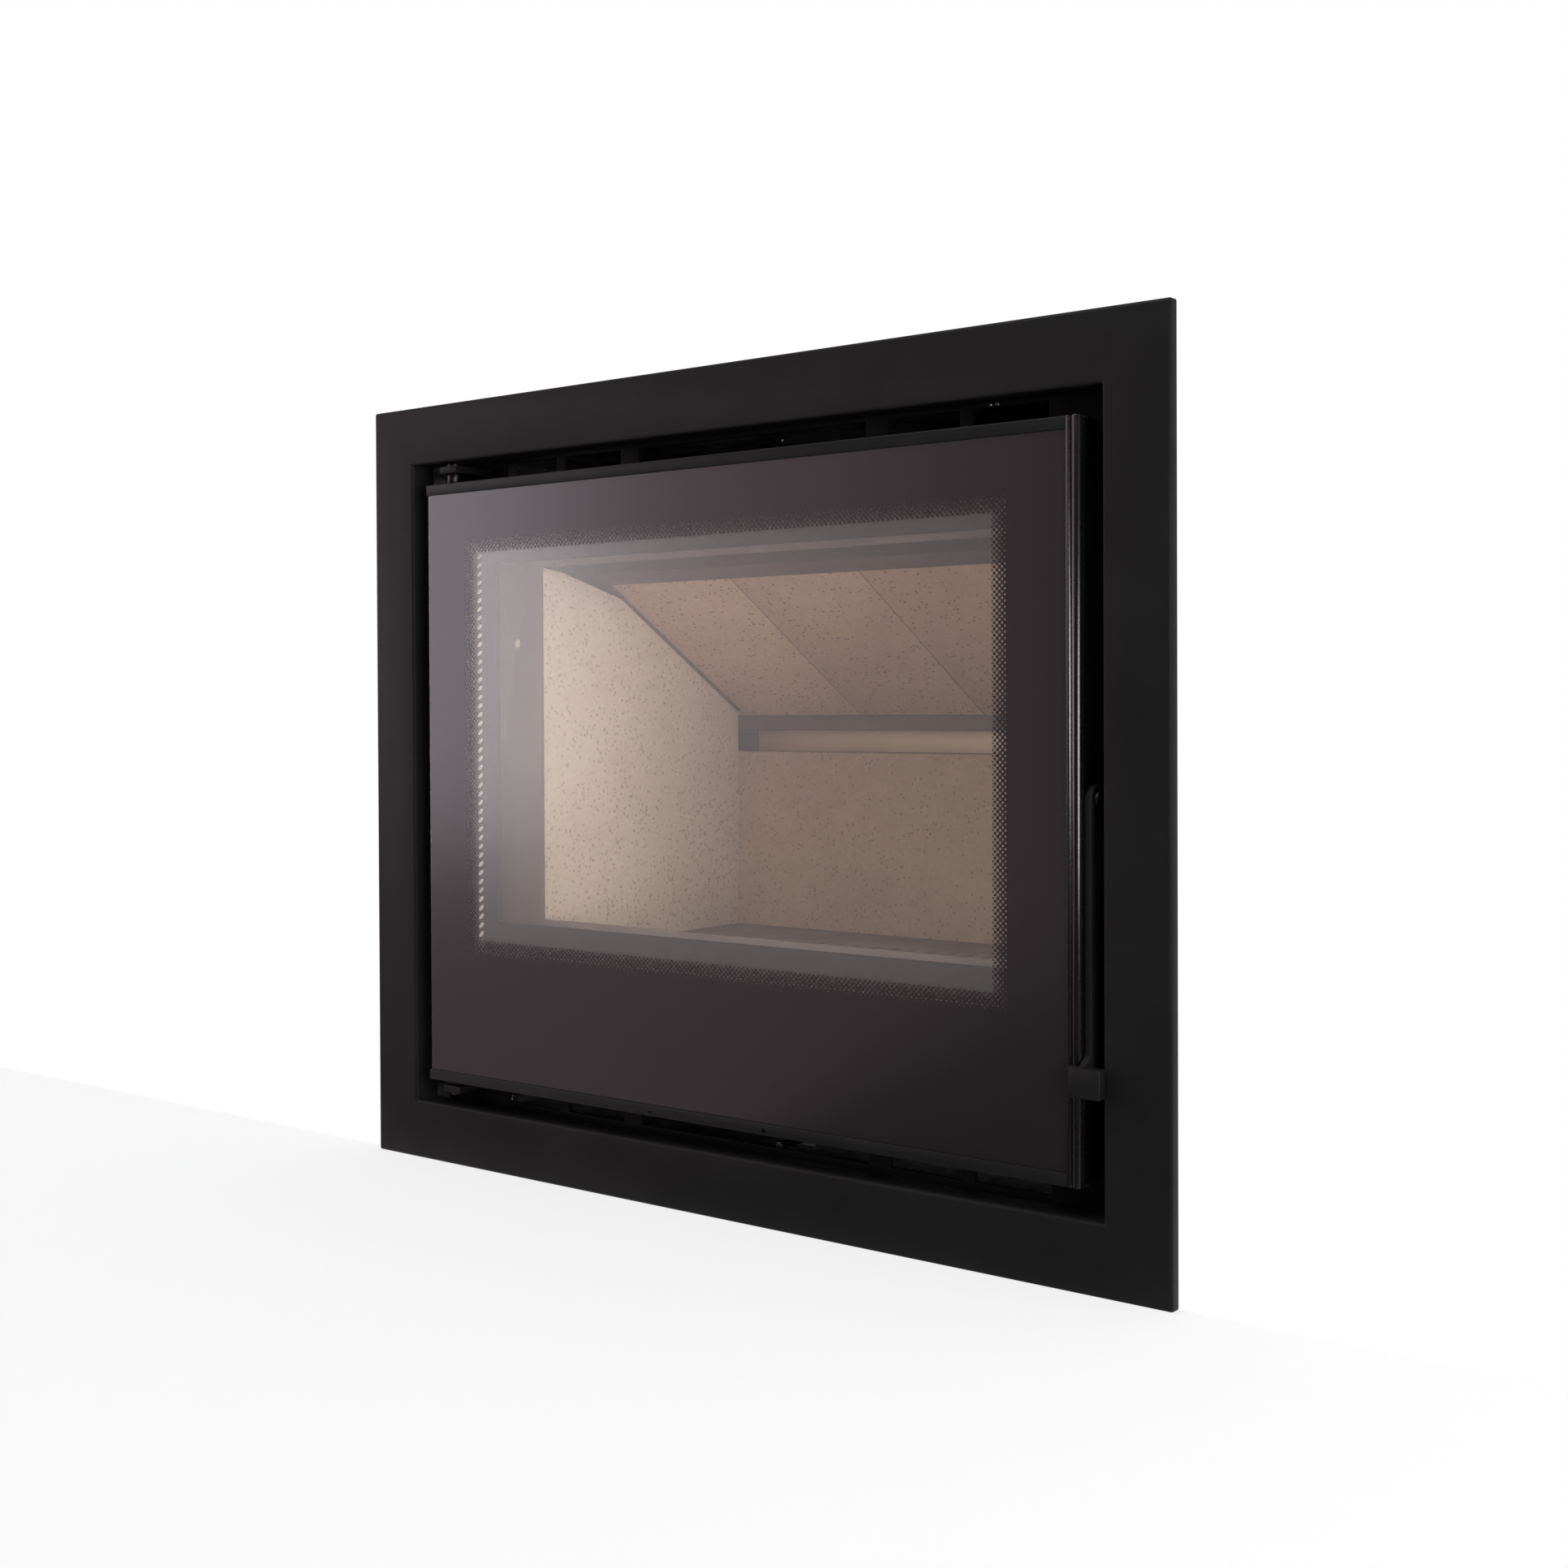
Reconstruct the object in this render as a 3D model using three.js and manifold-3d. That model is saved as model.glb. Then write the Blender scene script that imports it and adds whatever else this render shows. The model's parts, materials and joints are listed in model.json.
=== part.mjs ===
// Wood-burning fireplace insert with a glazed door, built as separate pieces.
// Units are millimetres, +X is to the right of a person facing the door, +Z is up.
// Depths are measured from the front plane of the surround, positive into the wall.

import * as THREE from 'three';
import { mergeVertices } from 'three/addons/utils/BufferGeometryUtils.js';
import Module from 'manifold-3d';

const wasm = await Module();
wasm.setup();

// ---------------------------------------------------------------- driving sizes

const gap = 0.3; // space kept between two pieces that seat on each other
const past = 1; // how far a cutting shape runs past the faces that it cuts
const sheet = 2; // folded steel sheet of the casing

// Surround
const trimWidth = 780;
const trimHeight = 655;
const trimBorder = 50;
const trimSheet = 2;
const trimFold = 2.5; // outer radius of its front folds
const trimReturn = 10; // depth of the outer return that meets the wall
const trimInnerReturn = 25; // depth of the return round the opening
const clipWidth = 18;
const clipHeight = 40;
const clipInset = 130; // from the opening's corners

// Casing round the firebox
const bodyOverlap = 10; // casing sides past the surround's opening
const bodyMargin = 15; // casing top and base past the surround's opening
const backSpace = 66.8; // from the firebox's back wall to the casing's back face
const flangeWidth = 22;
const ventLength = 60;
const ventHeight = 6;
const ventPitch = 80;
const ventRise = 60; // from the casing base to the lowest row
const ventRows = 2;
const ventRowPitch = 26;

// Feet
const footPadRadius = 20;
const footPadHeight = 6;
const footStemRadius = 6;
const footConeHeight = 3; // taper between the pad and the stem
const footCollarRadius = 11;
const footCollarHeight = 9;
const footStemRise = 14; // stem above the casing base
const footInsetX = 50;
const footFrontInset = 67; // from the casing's flanges
const footBackInset = 40;

// Front plate: door seat and warm-air slots
const plateSheet = 5;
const seatSide = 56; // from the surround's opening to the seat's opening, at the sides
const seatSill = 155.5;
const seatHead = 85.5;
const slotHeight = 16;
const slotPast = 0.5; // slots' far edge past the edge of the surround's opening
const slotInset = 67; // outermost slot end from the surround's opening, sideways
const slotLength = 64; // the two slots at each side
const narrowWeb = 10; // between those two
const wideWeb = 20; // between them and the long middle slot

// Firebox
const boxSheet = 4;
const apertureSide = 105; // from the surround's opening to the aperture
const apertureSill = 160.5;
const apertureHead = 91;
const airHoleRadius = 3.8;
const airHoleOut = 28.8; // air hole centre beside the aperture
const airHoleDrop = 65; // air hole centre below the aperture's head
const boardSheet = 30; // vermiculite boards
const boardReveal = 5; // side boards behind the aperture's edge
const boardLength = 268; // side boards, front to back
const hearthDrop = 27.5; // hearth surface below the aperture's sill
const hearthSheet = 13.7;
const rearBoardDrop = 38.3; // rear board's top below the side boards' rear corner
const roofDrop = 44; // firebox roof's underside below the casing's top
const frontPlateLap = 26; // firebox front past the seat's opening

// Baffle
const baffleAngle = THREE.MathUtils.degToRad(32);
const kneeInset = 103.1; // where the side boards' steep top begins, from their front edge
const kneeDrop = 22.7; // its height below the aperture's head
const shoulderInset = 28.4; // where their gentle top begins
const shoulderDrop = 2.5;
const browRise = 0.9; // side boards' front corner above the aperture's head
const baffleSheet = 25;
const baffleFront = -36; // along the slope, from the knee
const baffleLap = 10.5; // baffle boards past the side boards' rear edge, along the slope
const baffleJoints = [-100, 36];
const jointGap = 0.4;
const railSheet = 2;
const railReveal = 2; // side rails past the side boards' inner faces
const frontLip = 15.6;
const rearRailHeight = 13.2;
const airStripHeight = 20.7;
const airStripInset = 4; // ends short of the side boards' inner faces

// Flue collar and warm-air spigots
const flueRadius = 90;
const flueWall = 6;
const flueFlange = 25;
const flueFlangeSheet = 6;
const flueRise = 70; // collar above the casing's top
const flueInset = 123.2; // middle of the flue from the firebox's back
const flueClearance = 5;
const spigotRadius = 62.5;
const spigotWall = 2.5;
const spigotFlange = 12.5;
const spigotHeight = 45;
const spigotInset = 125; // middle of a spigot from the casing's side

// Hearth, grate and ash box
const ashInset = 144.4; // middle of the grate from the front edge of the hearth
const ashHalfX = 110;
const ashHalfY = 60;
const grateLap = 10; // grate beyond the ash opening, on each side
const grateSheet = 8;
const grateSlots = 11;
const grateSlotWidth = 8;
const grateRim = 14;
const ashBoxMargin = 40;
const ashBoxHeight = 68;
const panMargin = 8; // pan smaller than the ash opening
const panHeight = 50;
const panWall = 2.5;

// Air control
const rodRadius = 3;
const rodLength = 34;
const rodRise = 10; // above the edge of the surround's opening
const rodOpenX = 52.4; // rod at the plus mark
const rodTravel = 115; // to the minus mark
const portWidth = 100;
const portHeight = 14;
const portRise = 12; // port's lower edge above the rod's middle
const slideMargin = 10; // slide past the port, at its ends
const slideLap = 4; // slide past the port, above and below it
const lugHalf = 8; // half the width of the slide's lug, which carries the rod
const lugTail = 6; // lug below the rod's middle
const slideSheet = 3;
const ductWall = 2;
const ductMargin = 12;

// Door
const doorGapLeft = 19.7; // to the edge of the surround's opening
const doorGapRight = 16;
const doorGapTop = 19;
const doorGapBottom = 20.8;
const doorDepth = 36;
const glassThickness = 4;
const glassLap = 4; // glass behind the strips' lips
const glassInset = 0.7; // glass inside the door's left edge
const gasketThickness = 2.7;
const stripLip = 9;
const stripSheet = 1.5;
const stripProud = 1.8; // strip front ahead of the glass
const stripFold = 1.2;
const stripSetback = 2; // strip's leg short of the door's back
const frameSheet = 3;
const frameInset = 2.3; // frame inside the door's left edge
const frameInsetRight = 6; // frame inside the door's right edge
const windowLeft = 22.8; // from the door's outline to the window in the frame
const windowRight = 34;
const windowTop = 52;
const windowBottom = 115.2;
const seatFlange = 10; // width of the frame's glass seat
const ropeWidth = 10;
const ropeHeight = 9.4;
const ropeOffset = 1; // rope edge outside the window
const ropeSides = 10;
const profileWidth = 10.3;
const profileLip = 2.5;
const profileBevel = 0.4;
const profileGroove = 0.7; // groove's bottom ahead of the glass
const profileRound = 3.6;
const profileRoundStart = 205; // degrees, where the round nose leaves the groove
const profileProud = 2.4;

// Hinges
const hingeInX = 18.3; // axis from the door's left edge
const hingeY = 14;
const pinRadius = 4;
const pinClearance = 0.4;
const pinIntoDoor = 24;
const pinHeadRadius = 6;
const pinHeadHeight = 2.6;
const bushRadius = 6;
const bracketWidth = 20;
const bracketOffset = 3; // bracket middle from the pin
const bracketFrontY = 4;
const bracketHeight = 6;
const upperBracketRise = 9.5; // above the door
const lowerBracketDrop = 4.3; // below the door

// Latch
const leverSheet = 5;
const leverGap = 0.6; // to the door's edge
const leverRadius = 12;
const leverY = 15; // pivot
const leverTaper = 6; // slope between the lever's foot and its shank
const bossRadius = 9;
const boltRadius = 4;
const boltReach = 3; // bolt past the inside of the frame
const boltHeadRadius = 7.5;
const boltHeadHeight = 2.8;
const boltClearance = 0.4;
const hookSheet = 4;
const hookBack = 28; // claw's back face from the pivot
const hookDrop = 10;
const hookArm = 7;
const hookRise = 7;
const studRadius = 3;
const studRise = 2; // stud above the hook's arm
const studLength = 5;
const studClearance = 1.4; // stud end to the hook's side face
const keeperSheet = 3.5;
const keeperHalfHeight = 18;
const keeperArmHalf = 7; // half the height of the arm that holds the stud
const keeperArmNose = 6; // arm ahead of the stud's middle
const keeperInset = 2; // keeper's base clear of the casing
const tabWidth = 25.8;
const tabHeight = 20;
const tabThickness = 8;
const tabRise = 63; // above the door's bottom edge
const tabStandoff = 3.2; // tab's back face ahead of the strips
const tabLap = 5.4; // tab over the door's edge
const tabRound = 6;
const tabBevel = 0.8;

// ---------------------------------------------------------------- derived places

const openX = trimWidth / 2 - trimBorder;
const openBottom = trimBorder;
const openTop = trimHeight - trimBorder;

const bodyX = openX + bodyOverlap;
const bodyBottom = openBottom - bodyMargin;
const bodyTop = openTop + bodyMargin;
const flangeY = trimReturn - sheet; // flanges and surround meet the same wall face

const plateY = doorDepth + gap + ropeHeight + gap;
const plateBackY = plateY + plateSheet;
const seatX = openX - seatSide;
const seatBottom = openBottom + seatSill;
const seatTop = openTop - seatHead;

const boxFrontY = plateBackY + gap;
const boxFrontBack = boxFrontY + boxSheet;
const apertureX = openX - apertureSide;
const apertureBottom = openBottom + apertureSill;
const apertureTop = openTop - apertureHead;

const boardX = apertureX + boardReveal;
const boardY0 = boxFrontBack + gap;
const boardY1 = boardY0 + boardLength;
const wallX = boardX + boardSheet + gap;
const wallOuterX = wallX + boxSheet;
const rearY = boardY1 + gap + boardSheet + gap;
const rearOuterY = rearY + boxSheet;
const bodyBack = rearOuterY + backSpace;
const hearthZ = apertureBottom - hearthDrop;
const floorTop = hearthZ - hearthSheet - gap;
const floorBottom = floorTop - boxSheet;
const roofZ = bodyTop - roofDrop;
const kneeY = boardY0 + kneeInset;
const kneeZ = apertureTop - kneeDrop;
const slopeEndZ = kneeZ - Math.tan(baffleAngle) * (boardY1 - kneeY);
const rearBoardTop = slopeEndZ - rearBoardDrop;
const flueY = rearOuterY - flueInset;
const flueTop = bodyTop + flueRise;
const spigotX = bodyX - spigotInset;
const ashY = boardY0 + ashInset;

const doorLeft = -openX + doorGapLeft;
const doorRight = openX - doorGapRight;
const doorBottom = openBottom + doorGapBottom;
const doorTop = openTop - doorGapTop;
const windowX0 = doorLeft + windowLeft;
const windowX1 = doorRight - windowRight;
const windowZ0 = doorBottom + windowBottom;
const windowZ1 = doorTop - windowTop;
const glassY = glassThickness + gap;
const frameY = glassY + gasketThickness + gap;
const frameX0 = doorLeft + frameInset;
const frameX1 = doorRight - frameInsetRight;
const frameZ0 = doorBottom + stripSheet + gap;
const frameZ1 = doorTop - stripSheet - gap;

const rodZ = openBottom + rodRise;
const portBottom = rodZ + portRise;
const [portX0, portX1] = [rodOpenX - portWidth / 2, rodOpenX + portWidth / 2];
const [ductX0, ductX1] = [portX0 - ductMargin, portX1 + ductMargin];

const hingeX = doorLeft + hingeInX;
const leverX = doorRight + leverGap;
const leverOuterX = leverX + leverSheet;
const leverZ = (doorBottom + doorTop) / 2;
const profileX = doorRight - profileWidth;
const profileBack = 2 * profileRound - profileProud;
const tabBottom = doorBottom + tabRise;
const tabBack = -stripProud - tabStandoff;
const tabFront = tabBack - tabThickness;

const modelShift = -(tabFront + bodyBack) / 2; // puts the origin under the middle of the box

// ---------------------------------------------------------------- geometry helpers

function toSolid(geometry) {
  const bare = geometry.clone();
  bare.deleteAttribute('normal');
  bare.deleteAttribute('uv');
  const merged = mergeVertices(bare, 1e-4);
  const triVerts = new Uint32Array(merged.index.array);
  const vertProperties = new Float32Array(merged.attributes.position.array);
  return new wasm.Manifold(new wasm.Mesh({ numProp: 3, vertProperties, triVerts }));
}

function toGeometry(solid) {
  const mesh = solid.getMesh();
  const geometry = new THREE.BufferGeometry();
  geometry.setAttribute('position', new THREE.BufferAttribute(mesh.vertProperties, 3));
  geometry.setIndex(new THREE.BufferAttribute(mesh.triVerts, 1));
  geometry.computeVertexNormals();
  return geometry;
}

function cut(base, ...tools) {
  const solid = tools.reduce((rest, tool) => rest.subtract(toSolid(tool)), toSolid(base));
  return toGeometry(solid);
}

function join(base, ...others) {
  const solid = others.reduce((sum, other) => sum.add(toSolid(other)), toSolid(base));
  return toGeometry(solid);
}

function common(base, other) {
  return toGeometry(toSolid(base).intersect(toSolid(other)));
}

function block(x0, x1, y0, y1, z0, z1) {
  const box = new THREE.BoxGeometry(x1 - x0, y1 - y0, z1 - z0);
  return box.translate((x0 + x1) / 2, (y0 + y1) / 2, (z0 + z1) / 2);
}

// Round bars along each axis, by centre, radius and ends.
function barZ(x, y, radius, z0, z1, sides = 24) {
  const bar = new THREE.CylinderGeometry(radius, radius, z1 - z0, sides);
  return bar.rotateX(Math.PI / 2).translate(x, y, (z0 + z1) / 2);
}

function barY(x, z, radius, y0, y1, sides = 24) {
  const bar = new THREE.CylinderGeometry(radius, radius, y1 - y0, sides);
  return bar.translate(x, (y0 + y1) / 2, z);
}

function barX(y, z, radius, x0, x1, sides = 24) {
  const bar = new THREE.CylinderGeometry(radius, radius, x1 - x0, sides);
  return bar.rotateZ(Math.PI / 2).translate((x0 + x1) / 2, y, z);
}

// A profile of [radius, z] points turned about a vertical axis.
function turned(profile, x, y, sides = 32) {
  const points = profile.map(([radius, z]) => new THREE.Vector2(radius, z));
  const runsUp = THREE.ShapeUtils.area(points) > 0;
  const ordered = runsUp ? points : points.reverse();
  return new THREE.LatheGeometry(ordered, sides).rotateX(Math.PI / 2).translate(x, y, 0);
}

function outline(points) {
  return new THREE.Shape(points.map(([a, b]) => new THREE.Vector2(a, b)));
}

function extrude(shape, depth) {
  return new THREE.ExtrudeGeometry(shape, { depth, bevelEnabled: false, curveSegments: 6 });
}

// A plan outline (x, y) raised from z0 to z1.
function raise(shape, z0, z1) {
  return extrude(shape, z1 - z0).translate(0, 0, z0);
}

// A side outline (y, z) carried across from x0 to x1.
function carry(shape, x0, x1) {
  const turn = new THREE.Matrix4().makeBasis(
    new THREE.Vector3(0, 1, 0),
    new THREE.Vector3(0, 0, 1),
    new THREE.Vector3(1, 0, 0),
  );
  return extrude(shape, x1 - x0).applyMatrix4(turn).translate(x0, 0, 0);
}

// A closed section of [inset, depth] points carried round a rectangle with mitred corners.
function mitred(section, { x0, x1, z0, z1 }) {
  const turnsLeft = THREE.ShapeUtils.area(section.map(([a, b]) => new THREE.Vector2(a, b))) > 0;
  const ring = turnsLeft ? [...section].reverse() : section;
  const corners = [[x0, z0, 1, 1], [x1, z0, -1, 1], [x1, z1, -1, -1], [x0, z1, 1, -1]];
  const positions = [];
  for (const [x, z, toX, toZ] of corners) {
    for (const [inset, depth] of ring) {
      positions.push(x + toX * inset, depth, z + toZ * inset);
    }
  }
  const count = section.length;
  const index = [];
  for (let corner = 0; corner < 4; corner += 1) {
    const next = (corner + 1) % 4;
    for (let i = 0; i < count; i += 1) {
      const j = (i + 1) % count;
      const a = corner * count + i;
      const b = corner * count + j;
      const c = next * count + i;
      const d = next * count + j;
      index.push(a, b, d, a, d, c);
    }
  }
  const geometry = new THREE.BufferGeometry();
  geometry.setAttribute('position', new THREE.Float32BufferAttribute(positions, 3));
  geometry.setIndex(index);
  return geometry;
}

function arc(centreA, centreB, radius, from, to, steps = 4) {
  const points = [];
  for (let i = 0; i <= steps; i += 1) {
    const angle = THREE.MathUtils.degToRad(from + ((to - from) * i) / steps);
    points.push([centreA + radius * Math.cos(angle), centreB + radius * Math.sin(angle)]);
  }
  return points;
}

// ---------------------------------------------------------------- materials

function finish(color, roughness, metalness) {
  return () => new THREE.MeshStandardMaterial({ color, roughness, metalness });
}

const blackPaint = finish(0x1d1d1e, 0.55, 0.2);
const darkSteel = finish(0x2b2b2d, 0.6, 0.5);
const galvanised = finish(0x9a9d9f, 0.45, 0.8);
const castIron = finish(0x2a2a2b, 0.75, 0.5);
const vermiculite = finish(0xc0aa8c, 0.95, 0);
const stainless = finish(0xb0aaa2, 0.35, 0.9);
const boltSteel = finish(0x6b6d70, 0.4, 0.9);
const tintedGlass = finish(0x2c2628, 0.08, 0);
const rope = finish(0xd8d5cc, 0.95, 0);

// ---------------------------------------------------------------- assembly

const insert = new THREE.Group();
insert.position.y = modelShift;

function add(name, geometry, material, group = insert) {
  const mesh = new THREE.Mesh(geometry, material());
  mesh.name = name;
  group.add(mesh);
}

const sides = [['left', -1], ['right', 1]];

function span(side, near, far) {
  return side < 0 ? [-far, -near] : [near, far];
}

function buildSurround() {
  const section = [
    [0, trimReturn],
    ...arc(trimFold, trimFold, trimFold, 180, 270),
    ...arc(trimBorder - trimFold, trimFold, trimFold, 270, 360),
    [trimBorder, trimInnerReturn],
    [trimBorder - trimSheet, trimInnerReturn],
    [trimBorder - trimSheet, trimSheet],
    [trimSheet, trimSheet],
    [trimSheet, trimReturn],
  ];
  const edge = { x0: -trimWidth / 2, x1: trimWidth / 2, z0: 0, z1: trimHeight };
  add('trim_frame', mitred(section, edge), blackPaint);

  const levels = [['lower', openBottom + clipInset], ['upper', openTop - clipInset]];
  for (const [sideName, side] of sides) {
    const [x0, x1] = span(side, bodyX + gap, bodyX + gap + clipWidth);
    for (const [levelName, z] of levels) {
      const clip = block(x0, x1, trimSheet + gap, flangeY - gap, z - clipHeight / 2, z + clipHeight / 2);
      add(`trim_clip_${sideName}_${levelName}`, clip, galvanised);
    }
  }
}

function buildCasing() {
  for (const [sideName, side] of sides) {
    const [x0, x1] = span(side, bodyX - sheet, bodyX);
    const [f0, f1] = span(side, bodyX - sheet, bodyX + flangeWidth);
    const panel = block(x0, x1, flangeY, bodyBack - sheet - gap, bodyBottom, bodyTop);
    const flange = block(f0, f1, flangeY, flangeY + sheet, bodyBottom, bodyTop);
    add(`casing_${sideName}`, join(panel, flange), galvanised);
  }

  const innerX = bodyX - sheet - gap;
  const backY = bodyBack - sheet - gap;
  const tops = flueOpenings(flueRadius + flueClearance, spigotRadius - spigotWall);
  const lid = join(
    block(-innerX, innerX, flangeY, backY, bodyTop - sheet, bodyTop),
    block(-innerX, innerX, flangeY, flangeY + sheet, bodyTop - sheet, bodyTop + flangeWidth),
  );
  add('casing_top', cut(lid, ...tops), galvanised);

  const base = join(
    block(-innerX, innerX, flangeY, backY, bodyBottom, bodyBottom + sheet),
    block(-innerX, innerX, flangeY, flangeY + sheet, bodyBottom - flangeWidth, bodyBottom + sheet),
  );
  const stems = feet().map(({ x, y }) => {
    const hole = footStemRadius + gap;
    return barZ(x, y, hole, bodyBottom - sheet, bodyBottom + 2 * sheet);
  });
  add('casing_base', cut(base, ...stems), galvanised);

  const back = block(-bodyX, bodyX, bodyBack - sheet, bodyBack, bodyBottom, bodyTop);
  const vents = [];
  const columns = Math.floor((bodyX - ventLength) / ventPitch);
  for (let row = 0; row < ventRows; row += 1) {
    const z = bodyBottom + ventRise + row * ventRowPitch;
    for (let column = -columns; column <= columns; column += 1) {
      const x = column * ventPitch;
      const [y0, y1] = [bodyBack - 2 * sheet, bodyBack + sheet];
      vents.push(block(x - ventLength / 2, x + ventLength / 2, y0, y1, z, z + ventHeight));
    }
  }
  add('casing_back', cut(back, ...vents), galvanised);
}

function flueOpenings(flueHole, spigotHole) {
  const [z0, z1] = [bodyTop - 2 * sheet, bodyTop + sheet];
  return [
    barZ(0, flueY, flueHole, z0, z1, 32),
    ...sides.map(([, side]) => barZ(side * spigotX, flueY, spigotHole, z0, z1, 32)),
  ];
}

function feet() {
  const places = [];
  for (const [sideName, side] of sides) {
    const x = side * (bodyX - footInsetX);
    places.push({ name: `foot_front_${sideName}`, x, y: flangeY + footFrontInset });
    places.push({ name: `foot_back_${sideName}`, x, y: bodyBack - footBackInset });
  }
  return places;
}

function buildFeet() {
  const collarTop = bodyBottom - gap;
  const collarBottom = collarTop - footCollarHeight;
  const profile = [
    [0, 0],
    [footPadRadius, 0],
    [footPadRadius, footPadHeight],
    [footStemRadius, footPadHeight + footConeHeight],
    [footStemRadius, collarBottom],
    [footCollarRadius, collarBottom],
    [footCollarRadius, collarTop],
    [footStemRadius, collarTop],
    [footStemRadius, bodyBottom + footStemRise],
    [0, bodyBottom + footStemRise],
  ];
  for (const { name, x, y } of feet()) {
    add(name, turned(profile, x, y, 24), boltSteel);
  }
}

function buildFrontPlate() {
  const plateX = bodyX - sheet - gap;
  const [z0, z1] = [bodyBottom + sheet + gap, bodyTop - sheet - gap];
  const through = [plateY - past, plateBackY + past];
  const cuts = [block(-seatX, seatX, ...through, seatBottom, seatTop)];
  const outer = openX - slotInset;
  const inner = outer - slotLength - narrowWeb;
  const middle = inner - slotLength - wideWeb;
  const spans = [
    [-outer, -outer + slotLength],
    [-inner, -inner + slotLength],
    [-middle, middle],
    [inner - slotLength, inner],
    [outer - slotLength, outer],
  ];
  const [low, high] = [openBottom - slotPast, openTop + slotPast];
  for (const [x0, x1] of spans) {
    cuts.push(block(x0, x1, ...through, low, low + slotHeight));
    cuts.push(block(x0, x1, ...through, high - slotHeight, high));
  }
  cuts.push(airPort(...through));
  const plate = block(-plateX, plateX, plateY, plateBackY, z0, z1);
  add('front_plate', cut(plate, ...cuts), blackPaint);
}

function buildFirebox() {
  const lapX = seatX + frontPlateLap;
  const front = block(-lapX, lapX, boxFrontY, boxFrontBack, floorBottom, roofZ);
  const through = [boxFrontY - past, boxFrontBack + past];
  const holes = sides.map(([, side]) => {
    const x = side * (apertureX + airHoleOut);
    return barY(x, apertureTop - airHoleDrop, airHoleRadius, ...through);
  });
  const aperture = block(-apertureX, apertureX, ...through, apertureBottom, apertureTop);
  add('firebox_front', cut(front, aperture, ...holes), darkSteel);

  for (const [sideName, side] of sides) {
    const [x0, x1] = span(side, wallX, wallOuterX);
    add(`firebox_${sideName}`, block(x0, x1, boardY0, rearOuterY, floorBottom, roofZ), darkSteel);
  }
  const insideX = wallX - gap;
  const back = block(-insideX, insideX, rearY, rearOuterY, floorBottom, roofZ);
  add('firebox_back', back, darkSteel);

  const roof = block(-wallOuterX, wallOuterX, boardY0, rearOuterY, roofZ + gap, roofZ + gap + boxSheet);
  const flueHole = barZ(0, flueY, flueRadius - flueWall, roofZ, roofZ + 2 * boxSheet, 32);
  add('firebox_roof', cut(roof, flueHole), darkSteel);

  const floor = block(-insideX, insideX, boardY0, rearY - gap, floorBottom, floorTop);
  add('firebox_floor', cut(floor, ashOpening(floorBottom - past, floorTop + past)), darkSteel);
}

function ashOpening(z0, z1) {
  return block(-ashHalfX, ashHalfX, ashY - ashHalfY, ashY + ashHalfY, z0, z1);
}

function buildBoards() {
  const shape = outline([
    [boardY0, floorTop + gap],
    [boardY1, floorTop + gap],
    [boardY1, slopeEndZ],
    [kneeY, kneeZ],
    [boardY0 + shoulderInset, apertureTop - shoulderDrop],
    [boardY0, apertureTop + browRise],
  ]);
  for (const [sideName, side] of sides) {
    const [x0, x1] = span(side, boardX, boardX + boardSheet);
    add(`board_${sideName}`, carry(shape, x0, x1), vermiculite);
  }
  const rearX = boardX + boardSheet;
  const rear = block(-rearX, rearX, boardY1 + gap, rearY - gap, floorTop + gap, rearBoardTop);
  add('board_rear', rear, vermiculite);
}

// The baffle lies on the side boards' sloping tops; its group's Y runs down the slope.
function buildBaffle() {
  const slope = new THREE.Group();
  slope.position.set(0, kneeY, kneeZ);
  slope.rotation.x = -baffleAngle;
  insert.add(slope);

  const railTop = gap + railSheet;
  const boardBottom = railTop + gap;
  const boardTop = boardBottom + baffleSheet;
  const railEnd = (boardY1 - kneeY) / Math.cos(baffleAngle);
  const baffleRear = railEnd + baffleLap;
  const lipEnd = baffleFront + frontLip;
  for (const [sideName, side] of sides) {
    const [x0, x1] = span(side, boardX - railReveal, boardX + boardSheet - gap);
    const rail = block(x0, x1, lipEnd + gap, railEnd - gap, gap, railTop);
    add(`baffle_rail_${sideName}`, rail, darkSteel, slope);
  }

  const edgeX = boardX + boardSheet - gap;
  const edges = [-edgeX, ...baffleJoints, edgeX];
  ['left', 'middle', 'right'].forEach((name, i) => {
    const x0 = edges[i] + (i > 0 ? jointGap / 2 : 0);
    const x1 = edges[i + 1] - (i < 2 ? jointGap / 2 : 0);
    const board = block(x0, x1, baffleFront, baffleRear, boardBottom, boardTop);
    add(`baffle_board_${name}`, board, vermiculite, slope);
  });

  const faceY = baffleFront - gap;
  const cap = outline([
    [faceY - railSheet, gap],
    [lipEnd, gap],
    [lipEnd, railTop],
    [faceY, railTop],
    [faceY, boardTop + gap],
    [lipEnd, boardTop + gap],
    [lipEnd, boardTop + railTop],
    [faceY - railSheet, boardTop + railTop],
  ]);
  add('baffle_front_rail', carry(cap, -edgeX, edgeX), darkSteel, slope);

  const [sin, cos] = [Math.sin(baffleAngle), Math.cos(baffleAngle)];
  const rearTop = kneeZ - baffleRear * sin + boardBottom * cos - gap;
  const rearFace = kneeY + baffleRear * cos + boardBottom * sin;
  const angle = outline([
    [rearFace - railSheet, rearTop - rearRailHeight],
    [rearFace, rearTop - rearRailHeight],
    [rearFace, rearTop - railSheet],
    [rearY - gap, rearTop - railSheet],
    [rearY - gap, rearTop],
    [rearFace - railSheet, rearTop],
  ]);
  add('baffle_rear_rail', carry(angle, -edgeX, edgeX), darkSteel);

  const stripX = boardX - airStripInset;
  const stripBack = rearY - gap;
  const [strip0, strip1] = [rearBoardTop + gap, rearBoardTop + airStripHeight];
  const strip = block(-stripX, stripX, stripBack - boxSheet, stripBack, strip0, strip1);
  add('rear_air_strip', strip, stainless);
}

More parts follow.
